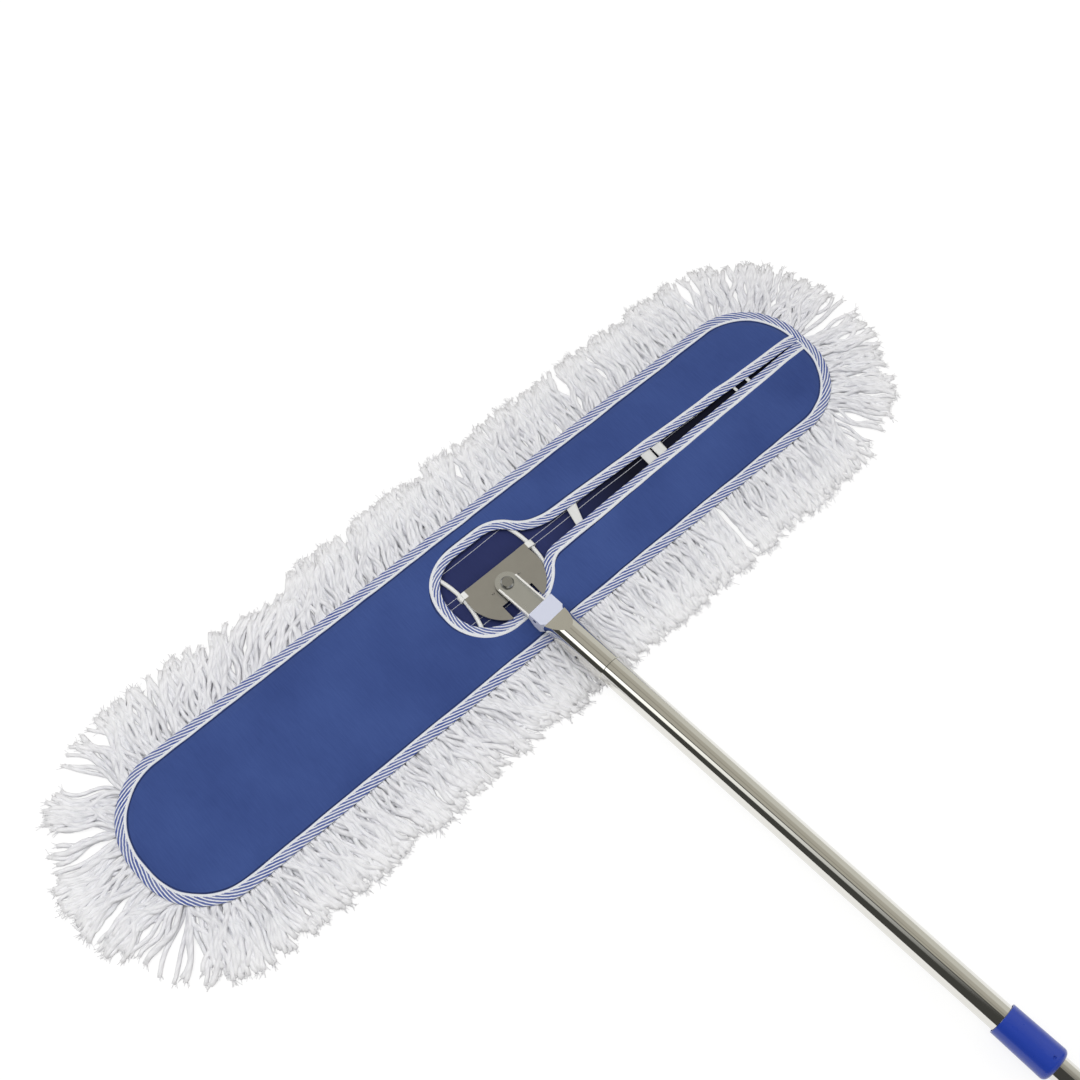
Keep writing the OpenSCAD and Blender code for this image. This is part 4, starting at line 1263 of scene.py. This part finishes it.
@dataclass
class Hardware:
    """Finishes of the rigid pieces, whose shapes come from the frame."""

    nodes: dict[str, bpy.types.Object]
    bracket_t: float = 2 * MM
    rail_clear: float = 0.2 * MM

    def dress(self) -> None:
        """Gives each rigid piece its finish, on all of its slots."""
        plate = DippedSheetFinish("plate_sheet", (0.60, 0.59, 0.57), (0.50, 0.49, 0.47), 0.36, 0.08)
        satin = MetalFinish("satin_sheet", (0.62, 0.61, 0.59), (0.54, 0.53, 0.51), 0.38, 0.08)
        floor_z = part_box("swivel_bracket")[0].z + self.bracket_t
        # The rails carry a painted highlight: pale, partly matt colour.
        bracket = RailedSheetFinish("bracket_sheet", (0.74, 0.75, 0.74), (0.66, 0.67, 0.66), 0.28, 0.06,
                                    line_depth=0.004 * MM, spot_color=(0.94, 0.94, 0.93), spot_matt=0.7,
                                    rail_low=floor_z + self.rail_clear)
        polished = MetalFinish("polished_tube", (0.78, 0.77, 0.73), (0.72, 0.71, 0.67), 0.06, 0.03,
                               line_scales=(900.0, 15.0, 900.0), line_depth=0.004 * MM)
        turned = MetalFinish("turned_steel", (0.50, 0.50, 0.49), (0.36, 0.36, 0.35), 0.26, 0.10)
        zinc = MetalFinish("zinc_wire", (0.52, 0.53, 0.54), (0.40, 0.41, 0.42), 0.40, 0.10)
        nylon = PlasticFinish("nylon", (0.62, 0.65, 0.78), (0.57, 0.60, 0.72), 0.45)
        coated = PlasticFinish("dipped_wire", (0.80, 0.81, 0.80), (0.68, 0.69, 0.69), 0.35, 0.2)
        collar = PlasticFinish("collar_plastic", (0.010, 0.043, 0.37), (0.016, 0.054, 0.41), 0.30, 0.25)
        grip = PlasticFinish("grip_plastic", (0.022, 0.050, 0.34), (0.030, 0.062, 0.38), 0.45)
        acetal = PlasticFinish("acetal", (0.035, 0.035, 0.034), (0.05, 0.05, 0.05), 0.4)
        table = {
            plate: ["swivel_plate"],
            satin: ["backing_washer"],
            bracket: ["swivel_bracket"],
            polished: ["handle_sleeve", "lower_tube", "upper_tube"],
            turned: ["swivel_rivet", "hinge_pin", "sleeve_rivet"],
            zinc: ["wire_loop"],
            nylon: ["hinge_block"],
            coated: ["cross_wires"],
            collar: ["lock_collar"],
            grip: ["hand_grip"],
            acetal: ["spacer_washer", "collet_ferrule", "glide_bush"],
        }
        for finish, names in table.items():
            material = finish.make()
            for name in names:
                for slot in self.nodes[name].material_slots:
                    slot.material = material
                LOG.info("%s: %s", name, finish.name)


@dataclass
class Studio:
    """Pale floor, soft light and the camera at the photograph's viewing angle."""

    lens: float = 53.33
    sensor: float = 36.0
    clip: tuple[float, float] = (0.05, 60.0)
    eye: tuple[float, float, float] = (-0.4253, -0.5431, 1.4920)
    azimuth: float = math.radians(41.76)
    elevation: float = math.radians(63.56)
    floor_half: float = 14.0
    floor_white: float = 0.75
    floor_plain: float = 1.0
    floor_scales: tuple[float, float, float] = (1.8, 0.9, 1.0)
    floor_shift: tuple[float, float, float] = (0.0, 0.55, 0.0)
    floor_glow: float = 1.10
    floor_matt: Color = (0.86, 0.86, 0.86)
    card: Color = (0.16, 0.16, 0.15)
    card_count: int = 3
    handle_yaw: float = math.radians(4.2)
    fill: Color = (0.40, 0.39, 0.37)
    softboxes: dict[str, tuple[tuple[float, float, float], float]] = field(default_factory=lambda: {
        "softbox_left": ((-0.70, 0.25, 2.1), 29.0), "softbox_right": ((1.3, -0.9, 1.7), 13.0)})
    softbox_aim: tuple[float, float, float] = (0.0, -0.1, 0.0)
    softbox_size: tuple[float, float] = (1.4, 2.0)

    def build(self) -> None:
        """Makes the floor, the lights, the world and the camera."""
        self.floor()
        self.lamps()
        self.world()
        self.camera()
        bpy.context.scene.view_settings.view_transform = "Standard"

    @staticmethod
    def shown(g: Graph) -> Signal:
        """One on rays from the camera, a bright metal or a glass, which show the background white."""
        return g.clamp(g.ray("Is Camera Ray") + g.ray("Is Glossy Ray") + g.ray("Is Transmission Ray"))

    def cards(self, g: Graph, x: Signal, y: Signal) -> Signal:
        """One on rays from a bright metal to the dark cards that stand round the set."""
        turn = y.math("ARCTAN2", x).wave(math.tau / self.card_count)
        return g.ray("Is Glossy Ray") * g.clamp((turn - 0.5) * 5)

    def floor(self) -> None:
        """A wide pale plane that shows mostly plain white, more so far away, and keeps the shadow."""
        s = np.linspace(-self.floor_half, self.floor_half, 3)
        x, y = np.meshgrid(s, s, indexing="ij")
        mesh = bpy.data.meshes.new("floor")
        corners = merged(x, y, 0 * x).reshape(-1, 3)
        faces = [(0, 3, 4, 1), (1, 4, 5, 2), (3, 6, 7, 4), (4, 7, 8, 5)]
        mesh.from_pydata(corners.tolist(), [], faces)
        floor = add_object("floor", mesh)
        material, g = new_graph("pale_floor")
        spread = g.node("ShaderNodeVectorMath", {"operation": "MULTIPLY_ADD"},
                        [g.place(), self.floor_scales, self.floor_shift])
        away = g.node("ShaderNodeVectorMath", {"operation": "LENGTH"}, [spread], "Value")
        far = g.clamp((away - self.floor_plain) / self.floor_plain)
        white = far * (1 - self.floor_white) + self.floor_white
        x, y, _z = g.parts(g.place())
        color = g.mix(far * self.cards(g, x, y), WHITE, self.card)
        plain = g.node("ShaderNodeEmission", None, {"Color": color, "Strength": self.floor_glow})
        matt = g.node("ShaderNodeBsdfDiffuse", None, {"Color": self.floor_matt})
        shader = g.node("ShaderNodeMixShader", None, [self.shown(g) * white, matt, plain])
        g.node("ShaderNodeOutputMaterial", None, {"Surface": shader})
        mesh.materials.append(material)

    def lamps(self) -> None:
        """Softboxes at the left and, weaker, at the right, that bright metal doesn't show."""
        for name, (place, power) in self.softboxes.items():
            data = bpy.data.lights.new(name, "AREA")
            data.shape = "RECTANGLE"
            data.size, data.size_y = self.softbox_size
            data.energy = power
            lamp = add_object(name, data)
            lamp.location = place
            back = np.array(place) - np.array(self.softbox_aim)
            tilt = math.atan2(math.hypot(back[0], back[1]), back[2])
            lamp.rotation_euler = (tilt, 0.0, math.atan2(back[0], -back[1]))
            lamp.visible_glossy = False

    def world(self) -> None:
        """White where it shows, an even fill for matt surfaces, and a room that only bright metal shows.

        The room's bands are ranges of the angle round the handle's axis, from the right over the top to
        the left. The window at the left and the dark wall under it swing with the direction along the
        handle, and the window fades towards its grip. The room ends some way along the handle.
        """
        world = bpy.data.worlds.new("studio")
        bpy.context.scene.world = world
        g = Graph(world)
        x, y, z = g.parts(g.node("ShaderNodeTexCoord", None, None, "Generated"))
        aside = x * math.cos(self.handle_yaw) + y * math.sin(self.handle_yaw)
        angle = z.math("ARCTAN2", aside) * math.degrees(1)
        swung = angle - y.math("MAXIMUM", -0.3).math("MINIMUM", 0.35) * 77 - 119
        room = g.mix(angle.band(15, 30, 6), (0.48, 0.46, 0.40), (0.66, 0.65, 0.59))
        room = g.mix(angle.band(78, 2, 4), room, (0.36, 0.34, 0.29))
        room = g.mix(y.band(-0.32, 0.10, 0.16), room, (0.14, 0.14, 0.13))
        room = g.mix(swung.band(45, 64, 3) * y.band(0.05, 0.45, 0.3), room, (0.06, 0.06, 0.055))
        room = g.mix(swung.band(0, 11, 4) * g.clamp((y + 0.12) * 3.5), room, (1.6, 1.6, 1.55))
        color = g.mix(self.shown(g), self.fill, WHITE)
        color = g.mix(self.cards(g, x, y) * z.band(0, 0.3, 0.3), color, self.card)
        color = g.mix(g.ray("Is Glossy Ray") * y.band(0.1, 0.85, 0.1), color, room)
        back = g.node("ShaderNodeBackground", None, {"Color": color, "Strength": 1.0})
        g.node("ShaderNodeOutputWorld", None, {"Surface": back})

    def camera(self) -> None:
        """Puts the camera where the fit of the photograph puts it."""
        data = bpy.data.cameras.new("camera")
        data.lens = self.lens
        data.sensor_width = self.sensor
        data.clip_start, data.clip_end = self.clip
        camera = add_object("camera", data)
        camera.location = self.eye
        camera.rotation_euler = (math.pi / 2 - self.elevation, 0.0, -self.azimuth)
        bpy.context.scene.camera = camera


def main() -> None:
    """Loads the frame, builds and dresses each sub-assembly."""
    logging.basicConfig(level=logging.INFO, format="%(name)s %(message)s")
    for obj in list(bpy.data.objects):
        bpy.data.objects.remove(obj)
    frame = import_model()
    plan = HeadPlan()
    Studio().build()
    CanvasHead(plan).build()
    YarnFringe(plan).build()
    Hardware(frame["nodes"]).dress()


if __name__ == "__main__":
    main()
